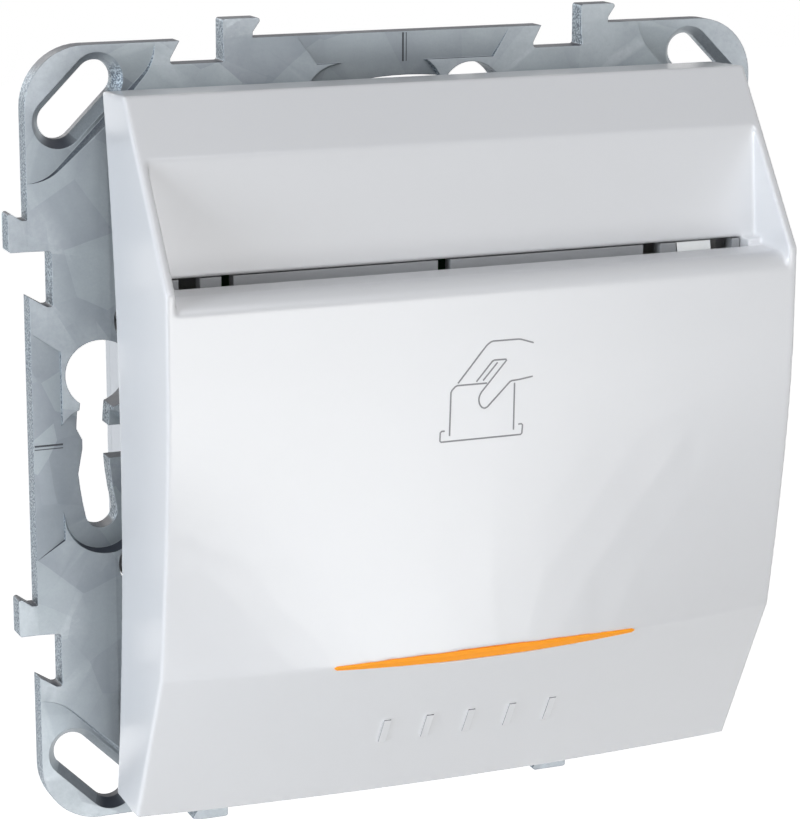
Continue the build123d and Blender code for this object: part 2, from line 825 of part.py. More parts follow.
# Chassis: white tray that carries the works and plugs into the frame
with BuildPart() as chassis:
    span_block(
        (-chassis_half_width, chassis_half_width),
        (chassis_floor_y, field_y),
        (-chassis_half_height, chassis_half_height),
    )
    span_block(
        (-chassis_opening_half, chassis_opening_half),
        (chassis_floor_y, field_y),
        (-chassis_opening_half, chassis_opening_half),
        mode=Mode.SUBTRACT,
    )
    span_block(
        (-chassis_opening_half, chassis_opening_half),
        (chassis_floor_y, field_y),
        (chassis_bar_low_z, chassis_bar_high_z),
    )
    for side in (-1, 1):
        edges = sorted((side * chassis_half_width, side * (chassis_half_width - chassis_wall)))
        span_block(
            tuple(edges),
            (chassis_wall_front_y, chassis_floor_y),
            (-chassis_wall_half_height, chassis_wall_half_height),
        )
        # Windows for the cover's hooks
        for hook_z in (-hook_half_spacing, hook_half_spacing):
            span_block(
                tuple(edges),
                (hook_front_y - window_play, hook_back_y + window_play),
                (hook_z - hook_length / 2 - window_play, hook_z + hook_length / 2 + window_play),
                mode=Mode.SUBTRACT,
            )
    # Neck through the frame
    with BuildSketch(front_plane(neck_back_y)):
        RectangleRounded(2 * neck_half, 2 * neck_half, neck_corner_radius)
        RectangleRounded(
            2 * (neck_half - neck_wall),
            2 * (neck_half - neck_wall),
            neck_corner_radius - neck_wall,
            mode=Mode.SUBTRACT,
        )
    extrude(amount=neck_back_y - field_y)
    # Studs that seat in the frame's side holes
    for side in (-1, 1):
        for along in (-stud_hole_along, stud_hole_along):
            rod(side * stud_hole_out, along, stud_radius, stud_back_y, chassis_floor_y)
            rod(
                along,
                side * stud_hole_out,
                chassis_screw_pad_radius,
                field_y,
                chassis_floor_y - chassis_screw_pad,
            )
    # Bosses for the board, the card guide, the lever spring and the housing
    for side in (-1, 1):
        for level in (-board_screw_z, board_screw_z):
            rod(side * board_screw_x, level, board_boss_radius, field_y, board_back_y)
        for level in (guide_screw_low_z, guide_screw_high_z):
            rod(side * guide_screw_x, level, guide_boss_radius, field_y, guide_back_y)
        rod(side * housing_screw_x, 0, housing_boss_radius, neck_back_y, chassis_floor_y)
    rod(0, spring_z, spring_boss_radius, field_y, spring_seat_y)
    rod(0, spring_z, lever_peg_radius, spring_seat_y, spring_seat_y - lever_peg_length)
    # Pilot holes
    for side in (-1, 1):
        for along in (-stud_hole_along, stud_hole_along):
            rod(
                along,
                side * stud_hole_out,
                chassis_screw_radius,
                field_y,
                -chassis_screw_length,
                mode=Mode.SUBTRACT,
            )
        for level in (-board_screw_z, board_screw_z):
            rod(
                side * board_screw_x,
                level,
                board_screw_radius,
                board_front_y + board_screw_length,
                board_back_y,
                mode=Mode.SUBTRACT,
            )
        for level in (guide_screw_low_z, guide_screw_high_z):
            rod(
                side * guide_screw_x,
                level,
                guide_screw_radius,
                guide_face_y + guide_screw_length,
                guide_back_y,
                mode=Mode.SUBTRACT,
            )
        rod(
            side * housing_screw_x,
            0,
            housing_screw_radius,
            neck_back_y,
            housing_screw_front_y,
            mode=Mode.SUBTRACT,
        )
finish(chassis, "chassis")

# Chassis screws: driven from behind through the frame
with BuildPart() as chassis_screws:
    for side in (-1, 1):
        for along in (-stud_hole_along, stud_hole_along):
            x = along
            z = side * stud_hole_out
            rod(x, z, chassis_screw_radius, 0, -chassis_screw_length)
            head_depth = chassis_screw_head_radius - chassis_screw_radius
            with Locations(Plane((x, -head_depth / 2, z), x_dir=(1, 0, 0), z_dir=(0, -1, 0))):
                Cone(chassis_screw_head_radius, chassis_screw_radius, head_depth)
            span_block(
                (x - chassis_screw_head_radius, x + chassis_screw_head_radius),
                (-screw_slot_depth, 0),
                (z - screw_slot_width / 2, z + screw_slot_width / 2),
                mode=Mode.SUBTRACT,
            )
finish(chassis_screws, "chassis_screws")

# Card guide: dark plate behind the slot, with rails, a stop and the lever's lugs
with BuildPart() as card_guide:
    span_block(
        (-guide_half_width, guide_half_width),
        (guide_face_y, guide_back_y),
        (card_stop_z - card_stop_thickness, guide_top_z),
    )
    span_block(
        (-guide_skirt_half_width, guide_skirt_half_width),
        (guide_face_y, guide_back_y),
        (guide_skirt_bottom_z, card_stop_z),
    )
    span_block(
        (-retainer_bottom_half, retainer_bottom_half),
        (retainer_back_y, guide_face_y),
        (card_stop_z - card_stop_thickness, card_stop_z),
    )
    for side in (-1, 1):
        rail = sorted((side * slot_half_width, side * guide_half_width))
        span_block(
            tuple(rail),
            (retainer_back_y, guide_face_y),
            (retainer_taper_top_z, retainer_top_z),
        )
        # The upper corners stand between the slot's ends.
        corner = sorted((side * (slot_half_width - guide_top_gap), side * guide_half_width))
        span_block(
            tuple(corner),
            (guide_face_y, guide_back_y),
            (lip_top_z - lip_foot - guide_top_gap, guide_top_z),
            mode=Mode.SUBTRACT,
        )
        leg = sorted((side * chassis_half_width, side * (chassis_half_width - chassis_wall)))
        span_block(
            tuple(leg),
            (guide_back_y, chassis_wall_front_y),
            (guide_leg_low_z, guide_leg_high_z),
        )
        lug = sorted((side * lug_inner_half, side * lug_outer_half))
        span_block(
            tuple(lug),
            (guide_back_y, guide_back_y + lug_reach),
            (pivot_z - lug_half_height, pivot_z + lug_half_height),
        )
    cross_rod(-lug_outer_half, lug_outer_half, pivot_y, pivot_z, pin_radius, mode=Mode.SUBTRACT)
    # Window for the lever, notches along the upper edge and a bed for the leaf spring
    span_block(
        (-lever_window_half, lever_window_half),
        (guide_face_y, guide_back_y),
        (lever_window_low_z, lever_window_high_z),
        mode=Mode.SUBTRACT,
    )
    for notch in guide_notch_spans:
        span_block(
            notch,
            (guide_face_y, guide_back_y),
            (guide_notch_bottom_z, guide_top_z),
            mode=Mode.SUBTRACT,
        )
    span_block(
        (leaf_recess_left_x, leaf_recess_right_x),
        (guide_face_y, guide_face_y + leaf_recess_depth),
        (leaf_recess_bottom_z, guide_top_z),
        mode=Mode.SUBTRACT,
    )
    rod(leaf_x, leaf_rivet_z, rivet_radius, guide_back_y, guide_face_y, mode=Mode.SUBTRACT)
    # Slot that holds the light guide
    span_block(
        (-light_guide_neck_half - light_guide_fit, light_guide_neck_half + light_guide_fit),
        (guide_face_y, guide_back_y),
        (
            light_guide_z - light_guide_thickness / 2 - light_guide_fit,
            light_guide_z + light_guide_thickness / 2 + light_guide_fit,
        ),
        mode=Mode.SUBTRACT,
    )
    # Countersunk screw holes
    for side in (-1, 1):
        for level in (guide_screw_low_z, guide_screw_high_z):
            hole_plane = Plane(
                (side * guide_screw_x, guide_face_y, level), x_dir=(1, 0, 0), z_dir=(0, -1, 0)
            )
            with Locations(hole_plane):
                CounterSinkHole(guide_screw_radius, guide_screw_head_radius, guide_plate)
finish(card_guide, "card_guide")

# Guide screws: their heads lie flush in the card's way
with BuildPart() as guide_screws:
    for side in (-1, 1):
        for level in (guide_screw_low_z, guide_screw_high_z):
            x = side * guide_screw_x
            rod(x, level, guide_screw_radius, guide_face_y + guide_screw_length, guide_face_y)
            head_depth = guide_screw_head_radius - guide_screw_radius
            head_middle_y = guide_face_y + head_depth / 2
            with Locations(Plane((x, head_middle_y, level), x_dir=(1, 0, 0), z_dir=(0, -1, 0))):
                Cone(guide_screw_radius, guide_screw_head_radius, head_depth)
            span_block(
                (x - guide_screw_head_radius, x + guide_screw_head_radius),
                (guide_face_y, guide_face_y + screw_slot_depth),
                (level - screw_slot_width / 2, level + screw_slot_width / 2),
                mode=Mode.SUBTRACT,
            )
finish(guide_screws, "guide_screws")

# Card retainer: open frame that closes the card's channel towards the cover
with BuildPart() as card_retainer:
    with BuildSketch(front_plane(retainer_back_y)):
        Polygon(
            (-guide_half_width, retainer_top_z),
            (guide_half_width, retainer_top_z),
            (guide_half_width, retainer_taper_top_z),
            (retainer_bottom_half, card_stop_z - card_stop_thickness),
            (-retainer_bottom_half, card_stop_z - card_stop_thickness),
            (-guide_half_width, retainer_taper_top_z),
            align=None,
        )
        Polygon(
            (-retainer_window_half, retainer_window_top_z),
            (retainer_window_half, retainer_window_top_z),
            (retainer_window_half, retainer_window_taper_z),
            (retainer_window_bottom_half, retainer_bar_top_z),
            (-retainer_window_bottom_half, retainer_bar_top_z),
            (-retainer_window_half, retainer_window_taper_z),
            align=None,
            mode=Mode.SUBTRACT,
        )
    extrude(amount=retainer_back_y - retainer_front_y)
finish(card_retainer, "card_retainer")

# Leaf spring that steadies the card, and its rivet
leaf_bed_y = guide_face_y + leaf_recess_depth
leaf_face_y = leaf_bed_y - leaf_thickness
with BuildPart() as card_leaf_spring:
    with BuildSketch(Plane.YZ.offset(leaf_recess_left_x + leaf_side_gap)):
        foot_top_z = leaf_low_z + leaf_foot
        bow_middle_z = (foot_top_z + leaf_high_z) / 2
        with BuildLine():
            Polyline(
                (leaf_face_y, foot_top_z),
                (leaf_face_y, leaf_low_z),
                (leaf_bed_y, leaf_low_z),
                (leaf_bed_y, foot_top_z),
            )
            ThreePointArc(
                (leaf_bed_y, foot_top_z),
                (leaf_bed_y - leaf_bow, bow_middle_z),
                (leaf_bed_y, leaf_high_z),
            )
            Line((leaf_bed_y, leaf_high_z), (leaf_face_y, leaf_high_z))
            ThreePointArc(
                (leaf_face_y, leaf_high_z),
                (leaf_face_y - leaf_bow, bow_middle_z),
                (leaf_face_y, foot_top_z),
            )
        make_face()
    extrude(amount=leaf_width)
    rod(leaf_x, leaf_rivet_z, rivet_radius, leaf_bed_y, leaf_face_y, mode=Mode.SUBTRACT)
finish(card_leaf_spring, "card_leaf_spring")

with BuildPart() as leaf_rivet:
    rod(leaf_x, leaf_rivet_z, rivet_radius, guide_back_y, leaf_face_y)
    rod(leaf_x, leaf_rivet_z, rivet_head_radius, leaf_face_y, guide_face_y)
    rod(leaf_x, leaf_rivet_z, rivet_head_radius, guide_back_y + rivet_tail_height, guide_back_y)
finish(leaf_rivet, "leaf_rivet")

# Card lever: the card's lower edge pushes its nose back
with BuildPart() as card_lever:
    tail_front_y = lever_front_y + lever_tail_step
    tail_back_y = tail_front_y + lever_tail_thickness
    with BuildSketch(Plane.YZ):
        Polygon(
            (lever_front_y, pivot_z),
            (lever_front_y, lever_nose_top_z),
            (lever_front_y - lever_nose_reach, lever_nose_tip_high_z),
            (lever_front_y - lever_nose_reach, lever_nose_tip_low_z),
            (lever_front_y, lever_nose_root_z),
            (tail_front_y, lever_nose_root_z),
            (tail_front_y, lever_tail_low_z),
            (tail_back_y, lever_tail_low_z),
            (tail_back_y, lever_nose_root_z),
            (lever_back_y, lever_nose_root_z + lever_tail_step),
            (lever_back_y, pivot_z),
            align=None,
        )
        with Locations((pivot_y, pivot_z)):
            Circle(lever_hub_radius)
            Circle(pin_radius + running_fit, mode=Mode.SUBTRACT)
    extrude(amount=lever_half_width, both=True)
    rod(0, spring_z, lever_peg_radius, lever_back_y + lever_peg_length, lever_back_y)
finish(card_lever, "card_lever")

with BuildPart() as lever_pin:
    cross_rod(-lug_outer_half, lug_outer_half, pivot_y, pivot_z, pin_radius)
finish(lever_pin, "lever_pin")

# Return spring, wound between the chassis boss and the lever
with BuildPart() as lever_return_spring:
    spring_length = spring_seat_y - lever_back_y - 2 * spring_wire_radius
    spring_start_y = spring_seat_y - spring_wire_radius
    with BuildLine():
        coil = Helix(
            spring_length / spring_turns,
            spring_length,
            spring_radius,
            center=(0, spring_start_y, spring_z),
            direction=(0, -1, 0),
        )
    with BuildSketch(Plane(coil @ 0, z_dir=coil % 0)):
        Circle(spring_wire_radius)
    sweep(path=coil, is_frenet=True)
finish(lever_return_spring, "lever_return_spring")

# Microswitch: case, lid, plunger, blade and contacts
switch_span_z = (switch_low_z, switch_high_z)
inner_span_z = (switch_low_z + switch_wall, switch_high_z - switch_wall)
lid_inner_x = switch_half_width - switch_lid
inner_front_y = switch_front_y + switch_wall
inner_back_y = board_front_y - switch_back_wall
blade_pivot_y = blade_front_y + blade_thickness / 2
with BuildPart() as microswitch_case:
    span_block((-switch_half_width, lid_inner_x), (switch_front_y, board_front_y), switch_span_z)
    span_block(
        (switch_wall - switch_half_width, lid_inner_x),
        (inner_front_y, inner_back_y),
        inner_span_z,
        mode=Mode.SUBTRACT,
    )
    rod(
        0,
        switch_middle_z,
        plunger_radius + running_fit,
        inner_front_y,
        switch_front_y,
        mode=Mode.SUBTRACT,
    )
    rod(
        contact_x,
        switch_middle_z,
        switch_pin_radius,
        board_front_y,
        inner_back_y,
        mode=Mode.SUBTRACT,
    )
    rod(
        blade_pivot_x,
        switch_pin_z,
        switch_pin_radius,
        board_front_y,
        inner_back_y,
        mode=Mode.SUBTRACT,
    )
finish(microswitch_case, "microswitch_case")

with BuildPart() as microswitch_lid:
    span_block((lid_inner_x, switch_half_width), (switch_front_y, board_front_y), switch_span_z)
finish(microswitch_lid, "microswitch_lid")

with BuildPart() as switch_plunger:
    rod(0, switch_middle_z, plunger_radius, plunger_end_y, plunger_tip_y)
    rod(
        0,
        switch_middle_z,
        plunger_collar_radius,
        plunger_end_y,
        plunger_end_y - plunger_collar_thickness,
    )
    tip = switch_plunger.edges().sort_by(Axis.Y)[0]
    fillet(tip, plunger_radius / 2)
finish(switch_plunger, "switch_plunger")

with BuildPart() as contact_blade:
    blade_back_y = blade_front_y + blade_thickness
    blade_span_z = (switch_middle_z - blade_half_width, switch_middle_z + blade_half_width)
    span_block((blade_pivot_x, blade_tip_x), (blade_front_y, blade_back_y), blade_span_z)
    upright(
        blade_pivot_x,
        blade_pivot_y,
        *blade_span_z,
        support_post_radius + running_fit + blade_thickness,
    )
    upright(
        blade_pivot_x,
        blade_pivot_y,
        *blade_span_z,
        support_post_radius + running_fit,
        mode=Mode.SUBTRACT,
    )
    rod(
        contact_x,
        switch_middle_z,
        contact_radius,
        blade_back_y + contact_height,
        blade_back_y,
    )
finish(contact_blade, "contact_blade")

with BuildPart() as blade_support:
    upright(blade_pivot_x, blade_pivot_y, *inner_span_z, support_post_radius)
    rod(blade_pivot_x, switch_pin_z, switch_pin_radius, switch_pin_end_y, blade_pivot_y)
finish(blade_support, "blade_support")

with BuildPart() as fixed_contact:
    rod(
        contact_x,
        switch_middle_z,
        contact_radius,
        inner_back_y,
        inner_back_y - contact_height,
    )
    rod(contact_x, switch_middle_z, switch_pin_radius, switch_pin_end_y, inner_back_y)
finish(fixed_contact, "fixed_contact")

# Circuit board
with BuildPart() as circuit_board:
    span_block(
        (-board_half_width, board_half_width),
        (board_front_y, board_back_y),
        (-board_half_height, board_half_height),
    )
    rod(0, spring_z, spring_boss_hole_radius, board_back_y, board_front_y, mode=Mode.SUBTRACT)
    for x, z in ((contact_x, switch_middle_z), (blade_pivot_x, switch_pin_z)):
        rod(
            x,
            z,
            switch_pin_radius + pin_hole_play,
            board_back_y,
            board_front_y,
            mode=Mode.SUBTRACT,
        )
    for side in (-1, 1):
        for level in (-board_screw_z, board_screw_z):
            rod(
                side * board_screw_x,
                level,
                board_screw_radius,
                board_back_y,
                board_front_y,
                mode=Mode.SUBTRACT,
            )
        # Holes for the terminal strips' pins
        for half in (-1, 1):
            strip_z = sorted((half * strip_low_z, half * (strip_low_z + strip_thickness)))
            span_block(
                (
                    side * terminal_x - strip_pin_half_width - strip_pin_play,
                    side * terminal_x + strip_pin_half_width + strip_pin_play,
                ),
                (board_front_y, board_back_y),
                (strip_z[0] - strip_pin_play, strip_z[1] + strip_pin_play),
                mode=Mode.SUBTRACT,
            )
finish(circuit_board, "circuit_board")

with BuildPart() as board_screws:
    for side in (-1, 1):
        for level in (-board_screw_z, board_screw_z):
            x = side * board_screw_x
            head_y = board_front_y - board_screw_head_height
            rod(x, level, board_screw_radius, board_front_y + board_screw_length, board_front_y)
            rod(x, level, board_screw_head_radius, board_front_y, head_y)
            span_block(
                (x - board_screw_head_radius, x + board_screw_head_radius),
                (head_y, head_y + screw_slot_depth),
                (level - screw_slot_width / 2, level + screw_slot_width / 2),
                mode=Mode.SUBTRACT,
            )
finish(board_screws, "board_screws")

# Pilot lamp with a domed front
with BuildPart() as pilot_lamp:
    rod(0, led_z, led_rim_radius, board_front_y, board_front_y - led_rim_height)
    rod(0, led_z, led_radius, board_front_y, board_front_y - led_height)
    dome = pilot_lamp.edges().filter_by(GeomType.CIRCLE).sort_by(Axis.Y)[0]
    fillet(dome, led_radius - small)
finish(pilot_lamp, "pilot_lamp")

# Light guide from the lamp to the lens, waisted where the card guide holds it
with BuildPart() as light_guide:
    with BuildSketch(Plane.XY.offset(light_guide_z - light_guide_thickness / 2)):
        lamp_side_y = board_front_y - led_height - light_guide_lamp_gap
        Polygon(
            (-light_guide_front_half, lens_y),
            (light_guide_front_half, lens_y),
            (light_guide_neck_half, guide_face_y),
            (light_guide_neck_half, guide_back_y),
            (light_guide_tail_half, lamp_side_y),
            (-light_guide_tail_half, lamp_side_y),
            (-light_guide_neck_half, guide_back_y),
            (-light_guide_neck_half, guide_face_y),
            align=None,
        )
    extrude(amount=light_guide_thickness)
finish(light_guide, "light_guide")

# Resistors on bent leads
with BuildPart() as resistors:
    for step in range(resistor_count):
        level = resistor_low_z + step * resistor_pitch
        axis_y = board_front_y - resistor_rise
        lead_low_x = resistor_x - resistor_lead_spread / 2
        lead_high_x = resistor_x + resistor_lead_spread / 2
        cross_rod(
            resistor_x - resistor_length / 2,
            resistor_x + resistor_length / 2,
            axis_y,
            level,
            resistor_radius,
        )
        cross_rod(lead_low_x, lead_high_x, axis_y, level, resistor_lead_radius)
        for lead_x in (lead_low_x, lead_high_x):
            rod(lead_x, level, resistor_lead_radius, board_front_y, axis_y)
            with Locations((lead_x, axis_y, level)):
                Sphere(resistor_lead_radius)
finish(resistors, "resistors")

with BuildPart() as smoothing_capacitor:
    can_top_y = board_front_y - smoothing_can_height
    rod(smoothing_can_x, smoothing_can_z, smoothing_can_radius, board_front_y, can_top_y)
    fillet(smoothing_capacitor.edges().filter_by(GeomType.CIRCLE), smoothing_can_round)
finish(smoothing_capacitor, "smoothing_capacitor")

with BuildPart() as film_capacitor:
    span_block(
        (film_capacitor_left_x, film_capacitor_right_x),
        (board_front_y - film_capacitor_height, board_front_y),
        (film_capacitor_low_z, film_capacitor_high_z),
    )
    fillet(film_capacitor.edges().filter_by(Axis.Y), film_capacitor_round)
finish(film_capacitor, "film_capacitor")

with BuildPart() as power_relay:
    span_block(
        (-relay_half_width, relay_half_width),
        (board_back_y, relay_back_y),
        (relay_low_z, relay_high_z),
    )
    # The switch pins' ends stand in a shallow bed.
    fillet(power_relay.edges().filter_by(Axis.Y), relay_round)
    for x, z in ((contact_x, switch_middle_z), (blade_pivot_x, switch_pin_z)):
        rod(
            x,
            z,
            switch_pin_radius + seat_gap,
            switch_pin_end_y + seat_gap,
            board_back_y,
            mode=Mode.SUBTRACT,
        )
finish(power_relay, "power_relay")

# Rear housing: box behind the frame, with a partition and four terminal pockets
with BuildPart() as rear_housing:
    with BuildSketch(front_plane(housing_back_y)):
        RectangleRounded(2 * neck_half, 2 * neck_half, neck_corner_radius)
        RectangleRounded(
            2 * (neck_half - housing_wall),
            2 * (neck_half - housing_wall),
            neck_corner_radius - housing_wall,
            mode=Mode.SUBTRACT,
        )
    extrude(amount=housing_back_y - neck_back_y)
    with BuildSketch(front_plane(partition_back_y)):
        RectangleRounded(2 * neck_half, 2 * neck_half, neck_corner_radius)
    extrude(amount=partition_thickness)
    for side in (-1, 1):
        rod(side * housing_screw_x, 0, housing_boss_radius, housing_back_y, neck_back_y)
        rod(
            side * housing_screw_x,
            0,
            housing_screw_hole_radius,
            housing_back_y,
            neck_back_y,
            mode=Mode.SUBTRACT,
        )
        for half in (-1, 1):
            x = side * terminal_x
            pocket_half = cage_half_width + cage_side_gap
            pocket_low = cage_low_z - cage_side_gap - pocket_floor
            ledge_top = terminal_screw_head_low_z - terminal_ledge_gap
            level = sorted((half * pocket_low, half * (pocket_low + pocket_floor)))
            span_block(
                (x - pocket_half - pocket_rib, x + pocket_half + pocket_rib),
                (partition_back_y, housing_back_y),
                tuple(level),
            )
            for rib in (-1, 1):
                rib_x = sorted((x + rib * pocket_half, x + rib * (pocket_half + pocket_rib)))
                rib_z = sorted((half * pocket_low, half * (neck_half - housing_wall)))
                span_block(tuple(rib_x), (partition_back_y, housing_back_y), tuple(rib_z))
            # Ledge under the screw's head, and the opening above it
            ledge_z = sorted((half * (ledge_top - terminal_ledge), half * ledge_top))
            span_block(
                (x - pocket_half, x + pocket_half),
                (partition_back_y, housing_back_y),
                tuple(ledge_z),
            )
            for low_z, high_z, radius in (
                (ledge_top - terminal_ledge, ledge_top, terminal_screw_radius),
                (ledge_top, neck_half, terminal_screw_head_radius),
            ):
                upright(
                    x,
                    terminal_y,
                    half * low_z,
                    half * high_z,
                    radius + terminal_access_play,
                    mode=Mode.SUBTRACT,
                )
            # Slot for the terminal strip
            strip_z = sorted((half * strip_low_z, half * (strip_low_z + strip_thickness)))
            span_block(
                (x - strip_half_width, x + strip_half_width),
                (partition_front_y, partition_back_y),
                tuple(strip_z),
                mode=Mode.SUBTRACT,
            )
finish(rear_housing, "rear_housing")

# Rear cover with four wire entries
with BuildPart() as rear_cover:
    with BuildSketch(front_plane(rear_face_y)):
        RectangleRounded(2 * neck_half, 2 * neck_half, neck_corner_radius)
    extrude(amount=rear_cover_thickness)
    fillet(rear_cover.faces().sort_by(Axis.Y)[-1].edges(), rear_cover_round)
    for side in (-1, 1):
        rod(
            side * housing_screw_x,
            0,
            housing_screw_hole_radius,
            rear_face_y,
            housing_back_y,
            mode=Mode.SUBTRACT,
        )
        for half in (-1, 1):
            x = side * terminal_x
            z = half * wire_entry_z
            rod(x, z, wire_entry_radius, rear_face_y, housing_back_y, mode=Mode.SUBTRACT)
            middle_y = rear_face_y - wire_funnel_depth / 2
            with Locations(Plane((x, middle_y, z), x_dir=(1, 0, 0), z_dir=(0, 1, 0))):
                Cone(wire_entry_radius, wire_funnel_radius, wire_funnel_depth, mode=Mode.SUBTRACT)
finish(rear_cover, "rear_cover")

with BuildPart() as housing_screws:
    for side in (-1, 1):
        x = side * housing_screw_x
        head_y = rear_face_y + housing_screw_head_height
        rod(x, 0, housing_screw_radius, rear_face_y, housing_screw_front_y)
        rod(x, 0, housing_screw_head_radius, head_y, rear_face_y)
        span_block(
            (x - housing_screw_head_radius, x + housing_screw_head_radius),
            (head_y - screw_slot_depth, head_y),
            (-screw_slot_width / 2, screw_slot_width / 2),
            mode=Mode.SUBTRACT,
        )
finish(housing_screws, "housing_screws")

# Screw terminals: upper left, upper right, lower left, lower right
terminal_spots = [(side * terminal_x, half) for half in (1, -1) for side in (-1, 1)]
for number, (x, half) in enumerate(terminal_spots, start=1):
    with BuildPart() as terminal_cage:
        cage_z = sorted((half * cage_low_z, half * cage_high_z))
        inner_z = sorted((half * cage_inner_low_z, half * cage_inner_high_z))
        cage_y = (terminal_y - cage_half_depth, terminal_y + cage_half_depth)
        cage_inner_half = cage_half_width - cage_side_wall
        span_block((x - cage_half_width, x + cage_half_width), cage_y, tuple(cage_z))
        span_block(
            (x - cage_inner_half, x + cage_inner_half),
            cage_y,
            tuple(inner_z),
            mode=Mode.SUBTRACT,
        )
        upright(
            x,
            terminal_y,
            half * cage_inner_high_z,
            half * cage_high_z,
            terminal_screw_radius + thread_fit,
            mode=Mode.SUBTRACT,
        )
    finish(terminal_cage, f"terminal_cage_{number}")

    with BuildPart() as terminal_screw:
        strip_top_z = strip_low_z + strip_thickness
        upright(
            x,
            terminal_y,
            half * (strip_top_z + strip_screw_gap),
            half * terminal_screw_head_low_z,
            terminal_screw_radius,
        )
        upright(
            x,
            terminal_y,
            half * terminal_screw_head_low_z,
            half * terminal_screw_head_high_z,
            terminal_screw_head_radius,
        )
        slot_z = sorted(
            (
                half * terminal_screw_head_high_z,
                half * (terminal_screw_head_high_z - terminal_screw_slot),
            )
        )
        span_block(
            (x - terminal_screw_head_radius, x + terminal_screw_head_radius),
            (terminal_y - screw_slot_width / 2, terminal_y + screw_slot_width / 2),
            tuple(slot_z),
            mode=Mode.SUBTRACT,
        )
    finish(terminal_screw, f"terminal_screw_{number}")

    with BuildPart() as terminal_strip:
        strip_z = sorted((half * strip_low_z, half * strip_top_z))
        span_block(
            (x - strip_half_width, x + strip_half_width),
            (board_back_y, terminal_y + cage_half_depth),
            tuple(strip_z),
        )
        span_block(
            (x - strip_pin_half_width, x + strip_pin_half_width),
            (board_back_y - strip_pin_length, board_back_y),
            tuple(strip_z),
        )
    finish(terminal_strip, f"terminal_strip_{number}")
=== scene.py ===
import bpy
import bmesh
import math
from mathutils import Matrix, Vector
from mathutils.bvhtree import BVHTree


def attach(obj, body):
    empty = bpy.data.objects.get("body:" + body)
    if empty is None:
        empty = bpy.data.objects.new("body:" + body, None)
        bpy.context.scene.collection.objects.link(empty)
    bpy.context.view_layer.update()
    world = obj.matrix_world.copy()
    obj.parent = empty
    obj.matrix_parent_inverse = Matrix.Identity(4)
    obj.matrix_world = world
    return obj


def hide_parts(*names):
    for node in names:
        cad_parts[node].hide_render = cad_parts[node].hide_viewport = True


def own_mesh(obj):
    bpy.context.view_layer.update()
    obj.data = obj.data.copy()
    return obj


# Hotel key card switch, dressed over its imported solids. Metres, +Z up, the front faces -Y.
# Sizes and places in the dictionaries are in mm where the code multiplies them by mm.
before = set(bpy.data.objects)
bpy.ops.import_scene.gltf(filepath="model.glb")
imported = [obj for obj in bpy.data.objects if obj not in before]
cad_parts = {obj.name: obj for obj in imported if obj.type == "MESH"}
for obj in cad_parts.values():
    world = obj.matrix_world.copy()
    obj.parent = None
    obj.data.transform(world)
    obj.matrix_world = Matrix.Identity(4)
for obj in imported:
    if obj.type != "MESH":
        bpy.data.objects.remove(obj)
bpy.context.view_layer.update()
print("loaded the solids")

mm = 0.001
inward = Vector((0.0, 1.0, 0.0))  # from the front towards the wall


def linkObject(name, data):
    thing = bpy.data.objects.new(name, data)
    bpy.context.scene.collection.objects.link(thing)
    return thing


# A node tree with short ways to add, link and feed nodes
class Nodes:
    def __init__(self, tree):
        self.tree = tree

    def add(self, kind, **settings):
        node = self.tree.nodes.new(kind)
        for key, value in settings.items():
            setattr(node, key, value)
        return node

    def link(self, source, target):
        self.tree.links.new(source, target)

    def feed(self, value, target):
        if isinstance(value, bpy.types.NodeSocket):
            self.link(value, target)
        else:
            target.default_value = value


def emptyTree(owner):
    owner.use_nodes = True
    owner.node_tree.nodes.clear()
    return Nodes(owner.node_tree)


def mathNode(nodes, operation, *values):
    node = nodes.add("ShaderNodeMath", operation=operation)
    for index, value in enumerate(values):
        nodes.feed(value, node.inputs[index])
    return node.outputs[0]


def mixColor(nodes, share, first, second):
    node = nodes.add("ShaderNodeMix", data_type="RGBA")
    for index, value in ((0, share), (6, first), (7, second)):  # the colour sockets of a Mix node
        nodes.feed(value, node.inputs[index])
    return node.outputs[2]


def mixShaders(nodes, share, first, second):
    node = nodes.add("ShaderNodeMixShader")
    for index, source in enumerate((share, first.outputs[0], second.outputs[0])):
        nodes.link(source, node.inputs[index])
    return node.outputs[0]


def rampNode(nodes, value, limits, shape="SMOOTHSTEP"):
    ramp = nodes.add("ShaderNodeMapRange", interpolation_type=shape)
    nodes.link(value, ramp.inputs["Value"])
    ramp.inputs["From Min"].default_value = limits[0]
    ramp.inputs["From Max"].default_value = limits[1]
    return ramp.outputs["Result"]


def between(nodes, value, low, high):
    above = mathNode(nodes, "GREATER_THAN", value, low)
    return mathNode(nodes, "MULTIPLY", above, mathNode(nodes, "LESS_THAN", value, high))


def objectPlace(nodes):
    return nodes.add("ShaderNodeTexCoord").outputs["Object"]


def splitAxes(nodes, source):
    split = nodes.add("ShaderNodeSeparateXYZ")
    nodes.link(source, split.inputs[0])
    return split.outputs


def facing(nodes):
    return splitAxes(nodes, nodes.add("ShaderNodeNewGeometry").outputs["Normal"])


def placeNoise(nodes, scale, detail, breakUp=0.5):
    noise = nodes.add("ShaderNodeTexNoise")
    nodes.link(objectPlace(nodes), noise.inputs["Vector"])
    nodes.feed(scale, noise.inputs["Scale"])
    noise.inputs["Detail"].default_value = detail
    noise.inputs["Roughness"].default_value = breakUp
    return noise.outputs


def opaque(color):
    return tuple(color) + (1.0,)


# The camera stands where a fit to the photograph puts it
cameraValues = {
    "place": (-101.79, -245.15, 64.585),
    "right": (0.92319898, -0.38431221, 0.00278781),
    "down": (-0.08846485, -0.21955907, -0.97158005),
    "ahead": (0.37400217, 0.89671508, -0.23669483),
    "lens": 128.51,
    "sensor": 36.0,
    "clip": (0.01, 20.0),
}


